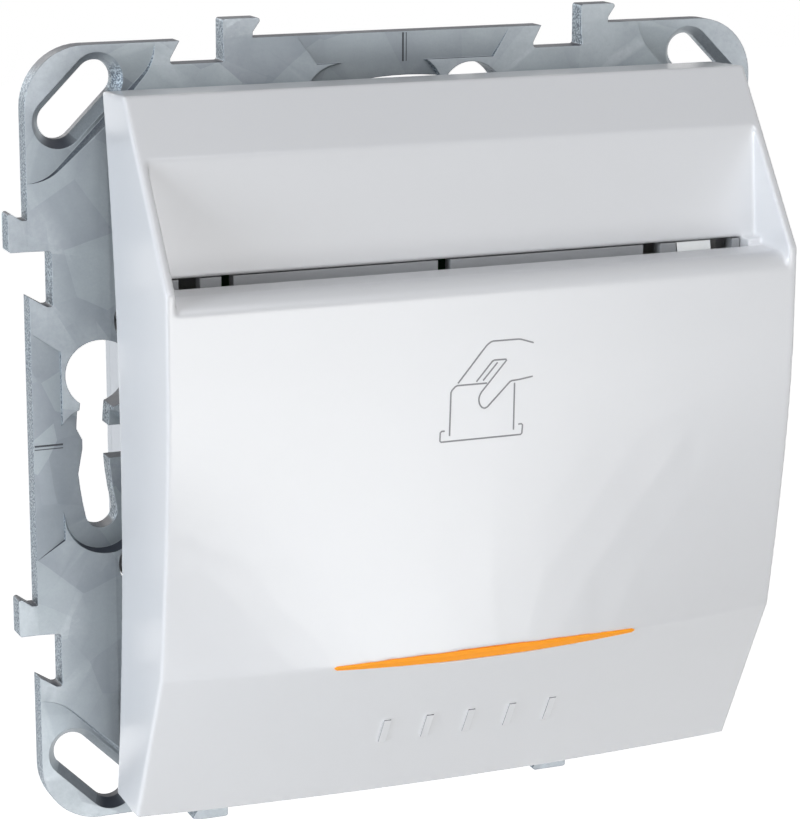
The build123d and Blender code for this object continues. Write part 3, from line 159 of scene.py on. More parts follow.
def makeCamera(v):
    data = bpy.data.cameras.new("photoCamera")
    data.sensor_width = v["sensor"]
    data.sensor_height = v["sensor"]
    data.sensor_fit = "AUTO"
    data.lens = v["lens"]
    data.clip_start, data.clip_end = v["clip"]
    camera = linkObject("photoCamera", data)
    right, up, back = Vector(v["right"]), -Vector(v["down"]), -Vector(v["ahead"])
    turn = Matrix((right, up, back)).transposed().to_4x4()
    camera.matrix_world = Matrix.Translation(Vector(v["place"]) * mm) @ turn
    bpy.context.scene.camera = camera


makeCamera(cameraValues)

# Soft lamps all around, and a dim world that looks white; places and sizes in metres
plainTint = (1.0, 1.0, 1.0)
lightValues = {
    "worldLight": 0.02,
    "worldTint": (0.97, 0.98, 1.0),
    "surroundLight": 1.0,
    "lamps": {
        "mirrorLamp": {"place": (0.19, -0.75, -0.21), "size": 0.36, "power": 1.25, "tint": (1.0, 1.0, 0.99)},
        "frontLamp": {"place": (-0.3, -1.2, 0.12), "size": 0.6, "power": 1.4, "tint": plainTint},
        "highLamp": {"place": (0.0, -0.8, 0.8), "size": 0.6, "power": 3.6, "tint": (0.95, 0.96, 1.0)},
        "leftLamp": {"place": (-1.0, -0.2, 0.15), "size": 0.6, "power": 6.8, "tint": (0.86, 0.92, 1.0)},
        "edgeLamp": {"place": (-0.9, -0.42, -0.25), "size": 0.14, "power": 0.35, "tint": plainTint},
        "rightLamp": {"place": (1.0, 0.25, 0.0), "size": 0.6, "power": 0.8, "tint": plainTint},
        "backLamp": {"place": (-0.3, 1.0, 0.4), "size": 0.8, "power": 2.8, "tint": plainTint},
    },
}


# Camera, glossy and glass rays see white; the other rays see the dim world or the plain floor
def seesWhite(nodes):
    path = nodes.add("ShaderNodeLightPath").outputs
    seen = path["Is Camera Ray"]
    for ray in ("Is Glossy Ray", "Is Transmission Ray"):
        seen = mathNode(nodes, "MAXIMUM", seen, path[ray])
    return seen


def addBackground(nodes, tint, strength):
    node = nodes.add("ShaderNodeBackground")
    node.inputs["Color"].default_value = opaque(tint)
    node.inputs["Strength"].default_value = strength
    return node


def makeWorld(v):
    world = bpy.data.worlds.new("studio")
    bpy.context.scene.world = world
    nodes = emptyTree(world)
    dim = addBackground(nodes, v["worldTint"], v["worldLight"])
    white = addBackground(nodes, plainTint, v["surroundLight"])
    out = nodes.add("ShaderNodeOutputWorld")
    nodes.link(mixShaders(nodes, seesWhite(nodes), dim, white), out.inputs[0])


def makeLamp(name, v):
    data = bpy.data.lights.new(name, "AREA")
    data.shape = "DISK"
    data.size = v["size"]
    data.energy = v["power"]
    data.color = v["tint"]
    place = Vector(v["place"])
    aim = (-place).to_track_quat("-Z", "Y").to_matrix().to_4x4()  # every lamp looks at the origin
    linkObject(name, data).matrix_world = Matrix.Translation(place) @ aim


makeWorld(lightValues)
for lampName, lampValues in lightValues["lamps"].items():
    makeLamp(lampName, lampValues)
bpy.context.scene.view_settings.view_transform = "Standard"
print("camera and lamps stand")


# Shader groups that the finishes share
def startGroup(name, inputs, outputs):
    tree = bpy.data.node_groups.new(name, "ShaderNodeTree")
    for label, kind, value in inputs:
        socket = tree.interface.new_socket(name=label, in_out="INPUT", socket_type=kind)
        socket.default_value = value
    for label, kind in outputs:
        tree.interface.new_socket(name=label, in_out="OUTPUT", socket_type=kind)
    nodes = Nodes(tree)
    return tree, nodes, nodes.add("NodeGroupInput").outputs, nodes.add("NodeGroupOutput").inputs


def placeGroup(nodes, group, values):
    node = nodes.add("ShaderNodeGroup", node_tree=group)
    for label, value in values.items():
        nodes.feed(value, node.inputs[label])
    return node


# Moulding grain: fine height, and a roughness that drifts about its middle
grainValues = {"detail": 4.0, "breakUp": 0.6, "driftDetail": 2.0, "noiseMiddle": 0.5}


def makeGrainGroup(v):
    group, nodes, given, made = startGroup(
        "mouldGrain",
        (
            ("Grain Scale", "NodeSocketFloat", 3000.0),
            ("Drift Scale", "NodeSocketFloat", 90.0),
            ("Base Roughness", "NodeSocketFloat", 0.3),
            ("Spread", "NodeSocketFloat", 0.08),
        ),
        (("Height", "NodeSocketFloat"), ("Roughness", "NodeSocketFloat")),
    )
    fine = placeNoise(nodes, given["Grain Scale"], v["detail"], v["breakUp"])["Fac"]
    drift = placeNoise(nodes, given["Drift Scale"], v["driftDetail"])["Fac"]
    rough = given["Base Roughness"]
    for noise in (drift, fine):
        swing = mathNode(nodes, "SUBTRACT", noise, v["noiseMiddle"])
        rough = mathNode(nodes, "ADD", rough, mathNode(nodes, "MULTIPLY", swing, given["Spread"]))
    nodes.link(fine, made["Height"])
    nodes.link(rough, made["Roughness"])
    return group


# Handling: a slow drift between two tones, and edges rubbed towards a third
rubValues = {"sharpness": (0.52, 0.62), "scale": 1800.0, "detail": 5.0, "breakUp": 0.7, "driftDetail": 3.0}


def makeToneGroup(v):
    group, nodes, given, made = startGroup(
        "handledTone",
        (
            ("Color", "NodeSocketColor", (0.8, 0.8, 0.8, 1.0)),
            ("Second Color", "NodeSocketColor", (0.7, 0.7, 0.7, 1.0)),
            ("Edge Color", "NodeSocketColor", (0.9, 0.9, 0.9, 1.0)),
            ("Tone Scale", "NodeSocketFloat", 60.0),
            ("Edge Wear", "NodeSocketFloat", 0.3),
        ),
        (("Color", "NodeSocketColor"),),
    )
    slow = placeNoise(nodes, given["Tone Scale"], v["driftDetail"])["Fac"]
    sharp = nodes.add("ShaderNodeNewGeometry").outputs["Pointiness"]
    edges = rampNode(nodes, sharp, v["sharpness"], "LINEAR")
    broken = placeNoise(nodes, v["scale"], v["detail"], v["breakUp"])["Fac"]
    edges = mathNode(nodes, "MULTIPLY", edges, broken)
    edges = mathNode(nodes, "MULTIPLY", edges, given["Edge Wear"])
    body = mixColor(nodes, slow, given["Color"], given["Second Color"])
    nodes.link(mixColor(nodes, edges, body, given["Edge Color"]), made["Color"])
    return group


grainGroup = makeGrainGroup(grainValues)
toneGroup = makeToneGroup(rubValues)

# What a finish has where it names nothing else; "round" is the shaded edge radius
plainFinish = {
    "drift": 0.93,
    "toneScale": 60.0,
    "wear": 0.3,
    "grainScale": 3000.0,
    "driftScale": 90.0,
    "rough": 0.35,
    "spread": 0.1,
    "bump": 0.15,
    "bumpDepth": 0.03,
    "metal": 0.0,
    "round": 0.0,
    "roundSamples": 6,
    "skinRadius": (0.001, 0.001, 0.0009),
    "skinScale": 0.8,
}
extraSockets = {
    "coat": "Coat Weight",
    "coatRough": "Coat Roughness",
    "ior": "IOR",
    "skin": "Subsurface Weight",
    "glow": "Emission Strength",
    "clear": "Transmission Weight",
}


def dimmed(color, share):
    return tuple(channel * share for channel in color)


def rubbed(color, gain=1.15, lift=0.03):
    return tuple(min(1.0, channel * gain + lift) for channel in color)


# A moulded plastic or plain metal finish, made from the two groups
def makeFinish(name, values):
    v = {**plainFinish, **values}
    material = bpy.data.materials.new(name)
    nodes = emptyTree(material)
    shader = nodes.add("ShaderNodeBsdfPrincipled")
    nodes.link(shader.outputs[0], nodes.add("ShaderNodeOutputMaterial").inputs[0])
    tone = placeGroup(nodes, toneGroup, {
        "Color": opaque(v["color"]),
        "Second Color": opaque(dimmed(v["color"], v["drift"])),
        "Edge Color": opaque(v.get("edge", rubbed(v["color"]))),
        "Tone Scale": v["toneScale"],
        "Edge Wear": v["wear"],
    })
    grain = placeGroup(nodes, grainGroup, {
        "Grain Scale": v["grainScale"],
        "Drift Scale": v["driftScale"],
        "Base Roughness": v["rough"],
        "Spread": v["spread"],
    })
    bump = nodes.add("ShaderNodeBump")
    bump.inputs["Strength"].default_value = v["bump"]
    bump.inputs["Distance"].default_value = v["bumpDepth"] * mm
    nodes.link(grain.outputs["Height"], bump.inputs["Height"])
    if v["round"]:
        soft = nodes.add("ShaderNodeBevel", samples=v["roundSamples"])
        soft.inputs["Radius"].default_value = v["round"] * mm
        nodes.link(soft.outputs[0], bump.inputs["Normal"])
    nodes.link(tone.outputs["Color"], shader.inputs["Base Color"])
    nodes.link(grain.outputs["Roughness"], shader.inputs["Roughness"])
    nodes.link(bump.outputs[0], shader.inputs["Normal"])
    shader.inputs["Metallic"].default_value = v["metal"]
    for key, socket in extraSockets.items():
        if key in v:
            shader.inputs[socket].default_value = v[key]
    if "skin" in v:
        shader.inputs["Subsurface Radius"].default_value = v["skinRadius"]
        shader.inputs["Subsurface Scale"].default_value = v["skinScale"]
    if "glow" in v:
        nodes.link(tone.outputs["Color"], shader.inputs["Emission Color"])
    made = {"shader": shader, "tone": tone, "grain": grain, "bump": bump}
    return {"material": material, "nodes": nodes, **made}


finishValues = {
    "chassisWhite": {"color": (0.76, 0.76, 0.74), "rough": 0.45, "bump": 0.2, "round": 0.2, "wear": 0.25},
    "guideGrey": {"color": (0.46, 0.47, 0.48), "rough": 0.5, "bump": 0.3, "round": 0.12},
    "zincScrew": {
        "color": (0.62, 0.62, 0.64), "edge": (0.85, 0.85, 0.86), "rough": 0.32, "metal": 1.0,
        "bump": 0.12, "round": 0.08, "wear": 0.5,
    },
    "springSteel": {"color": (0.66, 0.68, 0.69), "rough": 0.3, "metal": 1.0, "bump": 0.1},
    "plainBrass": {
        "color": (0.78, 0.58, 0.28), "edge": (0.93, 0.76, 0.45), "rough": 0.33, "metal": 1.0,
        "round": 0.06, "drift": 0.86, "wear": 0.4,
    },
    "passivatedSteel": {
        "color": (0.62, 0.56, 0.4), "rough": 0.36, "metal": 1.0, "round": 0.1, "drift": 0.88,
        "toneScale": 260.0,
    },
    "switchBlack": {"color": (0.022, 0.022, 0.024), "rough": 0.42, "bump": 0.25, "round": 0.12},
    "housingGrey": {
        "color": (0.66, 0.67, 0.68), "rough": 0.5, "bump": 0.4, "round": 0.35, "wear": 0.35,
        "grainScale": 2200.0,
    },
    "leverWhite": {"color": (0.74, 0.74, 0.71), "rough": 0.4, "bump": 0.12, "round": 0.15, "skin": 0.15},
    "plungerRed": {"color": (0.55, 0.045, 0.035), "rough": 0.38, "bump": 0.12, "round": 0.1},
    "canBlack": {"color": (0.03, 0.035, 0.05), "rough": 0.25, "bump": 0.06, "coat": 0.2, "coatRough": 0.2},
    "filmRed": {"color": (0.48, 0.07, 0.04), "rough": 0.32, "bump": 0.1, "round": 0.2},
    "relayBlue": {"color": (0.05, 0.11, 0.33), "rough": 0.34, "bump": 0.12, "round": 0.25},
    "lampAmber": {"color": (0.92, 0.5, 0.08), "rough": 0.2, "bump": 0.05, "skin": 0.4},
    "clearGuide": {
        "color": (0.96, 0.96, 0.94), "rough": 0.08, "spread": 0.03, "bump": 0.03, "clear": 0.9,
        "ior": 1.49, "drift": 0.99,
    },
    "signGrey": {"color": (0.3, 0.3, 0.31), "rough": 0.5, "bump": 0.05, "wear": 0.1},
    # Near-black: painted shade for the scribed grooves
    "scribePaintedShade": {"color": (0.05, 0.055, 0.065), "rough": 0.5, "metal": 0.3, "bump": 0.1, "wear": 0.1},
    # The lens glows with an emission of its own amber: painted light that brightens it, though the lens is no
    # lamp
    "lensAmber": {
        "color": (1.0, 0.35, 0.012), "edge": (1.0, 0.4, 0.03), "rough": 0.45, "spread": 0.03,
        "bump": 0.03, "skin": 0.2, "glow": 0.26, "drift": 0.97, "ior": 1.35, "wear": 0.0,
    },
}
finishes = {}
for finishName, finishItem in finishValues.items():
    finishes[finishName] = makeFinish(finishName, finishItem)["material"]

# Polished cover plastic; the left and top flanks of the five bars are painted darker, as painted shade. A
# bump here leaves white flecks on the face.
coverWhite = {
    "color": (0.86, 0.865, 0.875),
    "drift": 0.985,
    "edge": (0.95, 0.95, 0.96),
    "rough": 0.26,
    "spread": 0.02,
    "grainScale": 900.0,
    "bump": 0.0,
    "wear": 0.0,
    "ior": 1.8,
    "barsHalfX": 9.3,
    "barsZ": (-27.4, -22.9),
    # Painted shade on the bars' flanks: ramps by facing, and the darker colours they mix in
    "leftShadeRamp": (0.25, 0.6),
    "topShadeRamp": (-0.05, 0.35),
    "leftFlankPaintedShade": (0.26, 0.26, 0.29),
    "topFlankPaintedShade": (0.06, 0.06, 0.07),
}


def makeCoverWhite(v):
    finish = makeFinish("polishedWhite", v)
    nodes = finish["nodes"]
    place, normal = splitAxes(nodes, objectPlace(nodes)), facing(nodes)
    aside = mathNode(nodes, "ABSOLUTE", place[0])
    lowZ, highZ = (limit * mm for limit in v["barsZ"])
    inside = mathNode(nodes, "LESS_THAN", aside, v["barsHalfX"] * mm)
    inside = mathNode(nodes, "MULTIPLY", inside, between(nodes, place[2], lowZ, highZ))
    # Painted shade: inside the bars' box, faces turned left or up are mixed towards darker colours
    left = rampNode(nodes, mathNode(nodes, "MULTIPLY", normal[0], -1.0), v["leftShadeRamp"])
    top = rampNode(nodes, normal[2], v["topShadeRamp"])
    shaded = finish["tone"].outputs["Color"]
    for turn, flank in ((left, v["leftFlankPaintedShade"]), (top, v["topFlankPaintedShade"])):
        shaded = mixColor(nodes, mathNode(nodes, "MULTIPLY", turn, inside), shaded, opaque(flank))
    nodes.link(shaded, finish["shader"].inputs["Base Color"])
    return finish["material"]


finishes["polishedWhite"] = makeCoverWhite(coverWhite)

# Galvanised steel: large soft spangles and fine grain, with light and shade painted by facing:
# surfaces facing left get a speckled tone and surfaces facing up are painted dark, for the cut edges' look
zincValues = {
    "color": (0.42, 0.468, 0.485),
    "dark": (0.235, 0.262, 0.29),
    "edge": (0.72, 0.75, 0.78),
    "rough": 0.42,
    "roughLift": 0.12,
    "spread": 0.16,
    "metal": 0.7,
    "bump": 0.3,
    "round": 0.12,
    "wear": 0.4,
    "grainScale": 2600.0,
    "driftScale": 300.0,
    "spangle": 165.0,
    "spangleShare": 0.6,
    "feather": 0.35,
    "warpScale": 120.0,
    "warpDetail": 2.0,
    "warp": 0.6,
    "cloudScale": 420.0,
    "cloudDetail": 5.0,
    "cloudBreakUp": 0.7,
    "cloudShare": 0.35,
    "speckScale": 5200.0,
    "speckDetail": 2.0,
    "speckBreakUp": 0.6,
    "speckShare": 0.3,
    "secondShare": 0.3,
    # Painted light and shade by facing: a speckled tone on surfaces facing left, a dark colour on surfaces
    # facing up
    "leftFacingRamp": (0.5, 0.85),
    "upFacingRamp": (0.45, 0.8),
    "leftFacingSpecks": (0.42, 0.6),
    "leftFacingPaintedPale": (0.4, 0.46, 0.5),
    "leftFacingPaintedDark": (0.11, 0.135, 0.165),
    "upFacingPaintedShade": (0.03, 0.036, 0.05),
}


# Cells whose borders are pushed about a little by a slow noise
def addSpangles(nodes, v):
    stir = placeNoise(nodes, v["warpScale"], v["warpDetail"])["Color"]
    push = nodes.add("ShaderNodeVectorMath", operation="SCALE")
    nodes.link(stir, push.inputs[0])
    push.inputs["Scale"].default_value = v["warp"] * mm
    moved = nodes.add("ShaderNodeVectorMath", operation="ADD")
    nodes.link(objectPlace(nodes), moved.inputs[0])
    nodes.link(push.outputs[0], moved.inputs[1])
    cells = nodes.add("ShaderNodeTexVoronoi", feature="F1")
    cells.inputs["Scale"].default_value = v["spangle"]
    nodes.link(moved.outputs[0], cells.inputs["Vector"])
    chance = nodes.add("ShaderNodeSeparateColor")
    nodes.link(cells.outputs["Color"], chance.inputs[0])
    return chance.outputs, cells.outputs["Distance"]


def makeZinc(v):
    finish = makeFinish("galvanisedZinc", v)
    nodes, tone, shader = finish["nodes"], finish["tone"], finish["shader"]
    dark = opaque(v["dark"])
    chance, distance = addSpangles(nodes, v)
    cloud = placeNoise(nodes, v["cloudScale"], v["cloudDetail"], v["cloudBreakUp"])["Fac"]
    share = mathNode(nodes, "MULTIPLY", chance[0], v["spangleShare"])
    share = mathNode(nodes, "ADD", share, mathNode(nodes, "MULTIPLY", cloud, v["cloudShare"]))
    share = mathNode(nodes, "ADD", share, mathNode(nodes, "MULTIPLY", distance, v["feather"]))
    spangled = mixColor(nodes, share, opaque(v["color"]), dark)
    speck = placeNoise(nodes, v["speckScale"], v["speckDetail"], v["speckBreakUp"])["Fac"]
    speckled = mixColor(nodes, mathNode(nodes, "MULTIPLY", speck, v["speckShare"]), spangled, dark)
    nodes.link(speckled, tone.inputs["Color"])
    nodes.link(mixColor(nodes, v["secondShare"], speckled, dark), tone.inputs["Second Color"])

    # Painted light and shade, chosen by the way a surface faces; up-facing surfaces are also made less
    # metallic
    normal = facing(nodes)
    pale = rampNode(nodes, mathNode(nodes, "MULTIPLY", normal[0], -1.0), v["leftFacingRamp"])
    dull = rampNode(nodes, normal[2], v["upFacingRamp"])
    cut = mixColor(nodes, rampNode(nodes, speck, v["leftFacingSpecks"]), opaque(v["leftFacingPaintedDark"]), opaque(v["leftFacingPaintedPale"]))
    color = mixColor(nodes, pale, tone.outputs["Color"], cut)
    color = mixColor(nodes, dull, color, opaque(v["upFacingPaintedShade"]))
    bare = mathNode(nodes, "MULTIPLY", mathNode(nodes, "SUBTRACT", 1.0, dull), v["metal"])
    lift = mathNode(nodes, "MULTIPLY", chance[1], v["roughLift"])
    rough = mathNode(nodes, "ADD", lift, finish["grain"].outputs["Roughness"])
    nodes.link(color, shader.inputs["Base Color"])
    nodes.link(bare, shader.inputs["Metallic"])
    nodes.link(rough, shader.inputs["Roughness"])
    return finish["material"]


finishes["galvanisedZinc"] = makeZinc(zincValues)

# Circuit board: green mask over a net of raised tracks
boardValues = {
    "color": (0.012, 0.13, 0.045),
    "track": (0.03, 0.23, 0.085),
    "edge": (0.35, 0.33, 0.18),
    "rough": 0.28,
    "bump": 0.1,
    "coat": 0.3,
    "coatRough": 0.15,
    "netScale": 330.0,
    "trackWidth": 0.12,
    "trackHeight": 1.5,
}


def makeBoardMask(v):
    finish = makeFinish("boardMask", v)
    nodes = finish["nodes"]
    net = nodes.add("ShaderNodeTexVoronoi", feature="DISTANCE_TO_EDGE")
    net.inputs["Scale"].default_value = v["netScale"]
    nodes.link(objectPlace(nodes), net.inputs["Vector"])
    track = mathNode(nodes, "LESS_THAN", net.outputs["Distance"], v["trackWidth"])
    masked = mixColor(nodes, track, opaque(v["color"]), opaque(v["track"]))
    nodes.link(masked, finish["tone"].inputs["Color"])
    raised = mathNode(nodes, "MULTIPLY", track, v["trackHeight"])
    height = mathNode(nodes, "ADD", raised, finish["grain"].outputs["Height"])
    nodes.link(height, finish["bump"].inputs["Height"])
    return finish["material"]


finishes["boardMask"] = makeBoardMask(boardValues)

# Resistors: beige lacquer between X limits, with colour rings, and bare leads outside them
ringValues = {
    "color": (0.66, 0.52, 0.33),
    "rough": 0.34,
    "bump": 0.1,
    "rings": {
        (10.8, 11.3): (0.25, 0.09, 0.03),
        (11.8, 12.3): (0.02, 0.02, 0.02),
        (12.8, 13.3): (0.6, 0.25, 0.02),
        (14.1, 14.5): (0.5, 0.36, 0.08),
    },
    "lacquerX": (10.05, 14.95),
    "lead": (0.7, 0.7, 0.72),
}


def makeRings(v):
    finish = makeFinish("ringedLacquer", v)
    nodes = finish["nodes"]
    along = splitAxes(nodes, objectPlace(nodes))[0]
    color = opaque(v["color"])
    for (low, high), ring in v["rings"].items():
        color = mixColor(nodes, between(nodes, along, low * mm, high * mm), color, opaque(ring))
    low, high = (limit * mm for limit in v["lacquerX"])
    lead = mathNode(nodes, "LESS_THAN", along, low)
    lead = mathNode(nodes, "ADD", lead, mathNode(nodes, "GREATER_THAN", along, high))
    color = mixColor(nodes, lead, color, opaque(v["lead"]))
    for label in ("Color", "Second Color"):
        nodes.link(color, finish["tone"].inputs[label])
    nodes.link(lead, finish["shader"].inputs["Metallic"])
    return finish["material"]


finishes["ringedLacquer"] = makeRings(ringValues)
print("finishes are mixed")

# Which solids wear each finish
solidsByFinish = {
    "galvanisedZinc": ["support_frame"],
    "polishedWhite": ["front_cover"],
    "lensAmber": ["indicator_lens"],
    "clearGuide": ["light_guide"],
    "chassisWhite": ["chassis"],
    "guideGrey": ["card_guide", "card_retainer"],
    "springSteel": ["card_leaf_spring", "lever_return_spring"],
    "zincScrew": ["chassis_screws", "guide_screws", "lever_pin", "board_screws", "housing_screws"],
    "plainBrass": ["leaf_rivet", "blade_support", "contact_blade", "fixed_contact"],
    "passivatedSteel": [],
    "switchBlack": ["microswitch_case", "microswitch_lid"],
    "leverWhite": ["card_lever"],
    "plungerRed": ["switch_plunger"],
    "boardMask": ["circuit_board"],
    "lampAmber": ["pilot_lamp"],
    "ringedLacquer": ["resistors"],
    "canBlack": ["smoothing_capacitor"],
    "filmRed": ["film_capacitor"],
    "relayBlue": ["power_relay"],
    "housingGrey": ["rear_housing", "rear_cover"],
}
for terminal in (1, 2, 3, 4):
    solidsByFinish["plainBrass"].append(f"terminal_strip_{terminal}")
    solidsByFinish["passivatedSteel"].append(f"terminal_cage_{terminal}")
    solidsByFinish["zincScrew"].append(f"terminal_screw_{terminal}")
for finishName, nodeNames in solidsByFinish.items():
    for nodeName in nodeNames:
        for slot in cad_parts[nodeName].material_slots:
            slot.link = "OBJECT"
            slot.material = finishes[finishName]
print("solids are dressed")


# Helpers for the modelled pieces
def makePiece(name, mesh, finish):
    piece = linkObject(name, mesh)
    mesh.materials.clear()
    mesh.materials.append(finishes[finish])
    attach(piece, "base")
    return piece


# Rows of points joined into a closed tube with flat ends
def addTube(work, rows, smooth=False):
    sides = len(rows[0])
    for first, second in zip(rows, rows[1:]):
        for k in range(sides):
            after = (k + 1) % sides
            work.faces.new((first[k], first[after], second[after], second[k])).smooth = smooth
    work.faces.new(rows[0][::-1])
    work.faces.new(rows[-1])


def meshFrom(work, name):
    bmesh.ops.recalc_face_normals(work, faces=work.faces)
    mesh = bpy.data.meshes.new(name)
    work.to_mesh(mesh)
    work.free()
    return mesh


def modifiedMesh(thing):
    graph = bpy.context.evaluated_depsgraph_get()
    return bpy.data.meshes.new_from_object(thing.evaluated_get(graph))


def surfaceTree(thing):
    return BVHTree.FromPolygons(
        [tuple(point.co) for point in thing.data.vertices],
        [tuple(face.vertices) for face in thing.data.polygons],
    )


# The surface's place and normal at (X, Z), found from in front of it
def frontHit(tree, x, z, fromY):
    place, normal, _, _ = tree.ray_cast(Vector((x * mm, fromY * mm, z * mm)), inward)
    return place, normal


# Cover shell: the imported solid's form with its edges eased as a mould would leave them.
# The lens opening and the top edge stay crisp; zones are (X, Z) boxes in front of a Y.
coverValues = {
    "voxel": 0.15,
    "firstEase": 2,
    "ease": 7,
    "easeShare": 0.5,
    "crispZones": (
        {"middle": (0.0, -17.13), "half": (15.6, 1.5), "behind": -12.0},
        {"middle": (0.0, 32.8), "half": (28.4, 2.0), "behind": -4.0},
    ),
    "fade": 0.5,
}


def easeWeight(x, y, z, v):
    weight = 1.0
    for zone in v["crispZones"]:
        if y > zone["behind"] * mm:
            continue
        outX = abs(x / mm - zone["middle"][0]) - zone["half"][0]
        outZ = abs(z / mm - zone["middle"][1]) - zone["half"][1]
        weight = min(weight, max(0.0, max(outX, outZ) / v["fade"]))
    return weight


def addEase(thing, name, rounds, share):
    ease = thing.modifiers.new(name, "SMOOTH")
    ease.iterations = rounds
    ease.factor = share
    return ease


def makeCoverShell(v):
    shell = linkObject("cover_shell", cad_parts["front_cover"].data.copy())
    grid = shell.modifiers.new("grid", "REMESH")
    grid.mode = "VOXEL"
    grid.voxel_size = v["voxel"] * mm
    grid.use_smooth_shade = True
    shell.data = modifiedMesh(shell)
    shell.modifiers.clear()
    group = shell.vertex_groups.new(name="eased")
    for point in shell.data.vertices:
        group.add([point.index], easeWeight(*point.co, v), "REPLACE")
    addEase(shell, "firstEase", v["firstEase"], v["easeShare"])
    addEase(shell, "ease", v["ease"], v["easeShare"]).vertex_group = group.name
    made = modifiedMesh(shell)
    shell.modifiers.clear()
    shell.vertex_groups.clear()
    shell.data = made
    made.materials.clear()
    made.materials.append(finishes["polishedWhite"])
    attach(shell, "base")
    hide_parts("front_cover")
    print("cover shell has", len(made.polygons), "faces")
    return shell


coverShell = makeCoverShell(coverValues)

# Five grip bars: crisp blocks that stand a little proud of the chin
barValues = {
    "count": 5,
    "pitch": 4.05,
    "width": 0.65,
    "top": -23.64,
    "bottom": -26.14,
    "proud": 0.17,
    "root": 0.5,
    "aside": 1.2,
    "fromY": -40.0,
}


# The chin's middle and its direction across, measured on both sides of a bar
def chinAt(tree, x, z, v):
    left, right = (frontHit(tree, x + turn * v["aside"], z, v["fromY"])[0] for turn in (-1, 1))
    return (left + right) / 2, (right - left).normalized()


def makeBars(v):
    tree = surfaceTree(coverShell)
    work = bmesh.new()
    for bar in range(v["count"]):
        x = (bar - (v["count"] - 1) / 2) * v["pitch"]
        ends = [chinAt(tree, x, z, v) for z in (v["top"], v["bottom"])]
        along = (ends[1][0] - ends[0][0]).normalized()
        rows = []
        for place, across in ends:
            out = across.cross(along).normalized()
            if out.y > 0:
                out = -out
            half = across * v["width"] / 2 * mm
            low, high = -out * v["root"] * mm, out * v["proud"] * mm
            corners = (place - half + high, place + half + high, place + half + low, place - half + low)
            rows.append([work.verts.new(corner) for corner in corners])
        addTube(work, rows)
    makePiece("grip_bars", meshFrom(work, "grip_bars"), "polishedWhite")


makeBars(barValues)
print("bars stand on the chin")

# The lens: an amber leaf over the crease, with blunt rounded ends and a flange inside.
# Front and back count from the cover's surface; the leaf stands proud outside flushHalf.
lensValues = {
    "crease": -17.0,
    "leaf": {
        "half": 14.5, "rise": 0.34, "drop": 0.6, "endRise": 0.15, "endDrop": 0.22, "endRound": 0.25,
        "front": 0.0, "back": 1.9, "proud": 0.05,
    },
    "flange": {
        "half": 15.5, "rise": 1.0, "drop": 1.2, "endRise": 1.0, "endDrop": 1.2, "endRound": 0.0,
        "front": 1.9, "back": 3.1, "proud": 0.0,
    },
    "bluntShare": 0.2,
    "flushHalf": 5.0,
    "measureAbove": 1.0,
    "measureBelow": 1.4,
    "columns": 120,
    "fromY": -40.0,
}


# Height at x: an arch from the end's height to the middle's, rounded off at the tip
def archAt(x, part, middle, end, v):
    body = end + (middle - end) * (1 - (x / part["half"]) ** 2)
    tip = part["half"] - abs(x)
    if tip >= part["endRound"]:
        return body
    share = 1 - tip / part["endRound"]
    return body * max(v["bluntShare"], math.sqrt(1 - share ** 2))


# Rings of five points at each step along X, following the cover's two slopes
def addLensPart(work, tree, part, v):
    crease = v["crease"]
    rows = []
    for k in range(v["columns"] + 1):
        x = -part["half"] + 2 * part["half"] * k / v["columns"]
        y = frontHit(tree, x, crease + v["measureAbove"], v["fromY"])[0].y / mm
        low = frontHit(tree, x, crease - v["measureBelow"], v["fromY"])[0].y / mm
        lean = (low - y) / v["measureBelow"]
        up = archAt(x, part, part["rise"], part["endRise"], v)
        down = archAt(x, part, part["drop"], part["endDrop"], v)
        start = y + part["front"] - part["proud"] * min(1.0, (x / v["flushHalf"]) ** 2)
        ring = (
            (start, crease + up),
            (start, crease),
            (start + lean * down, crease - down),
            (y + part["back"], crease - down),
            (y + part["back"], crease + up),
        )
        rows.append([work.verts.new((x * mm, ringY * mm, ringZ * mm)) for ringY, ringZ in ring])
    addTube(work, rows)


def makeLens(v):
    tree = surfaceTree(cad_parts["front_cover"])
    work = bmesh.new()
    for part in (v["leaf"], v["flange"]):
        addLensPart(work, tree, part, v)
    lens = makePiece("lens_leaf", meshFrom(work, "lens_leaf"), "lensAmber")
    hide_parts("indicator_lens")


makeLens(lensValues)
print("lens lies in the crease")


# Fine lines that lie on a surface: closed ribbons whose tops stand just proud
def resample(points, step):
    line = []
    for (x0, z0), (x1, z1) in zip(points, points[1:]):
        count = max(1, round(math.hypot(x1 - x0, z1 - z0) / step))
        line += [(x0 + (x1 - x0) * k / count, z0 + (z1 - z0) * k / count) for k in range(count)]
    return line + [points[-1]]


def roundCorners(points, cut):
    line = [points[0]]
    for before, corner, after in zip(points, points[1:], points[2:]):
        for other in (before, after):
            aside = Vector(other) - Vector(corner)
            near = Vector(corner) + aside.normalized() * min(cut, aside.length / 2)
            line.append(tuple(near))
    return line + [points[-1]]


def addRibbon(work, tree, points, width, v):
    rows = []
    for index, (x, z) in enumerate(points):
        ahead = points[min(index + 1, len(points) - 1)]
        behind = points[max(index - 1, 0)]
        dx, dz = ahead[0] - behind[0], ahead[1] - behind[1]
        length = math.hypot(dx, dz)
        sideX, sideZ = -dz / length * width / 2, dx / length * width / 2
        tops, roots = [], []
        for turn in (1, -1):
            place, normal = frontHit(tree, x + sideX * turn, z + sideZ * turn, v["fromY"])
            tops.append(place + normal * v["proud"] * mm)
            roots.append(place - normal * v["sunk"] * mm)
        rows.append([work.verts.new(corner) for corner in (tops[0], tops[1], roots[1], roots[0])])
    addTube(work, rows)


def makeLines(name, surface, lines, v, finish):
    tree = surfaceTree(surface)
    work = bmesh.new()
    for points, width in lines:
        addRibbon(work, tree, resample(points, v["step"]), width, v)
    makePiece(name, meshFrom(work, name), finish)


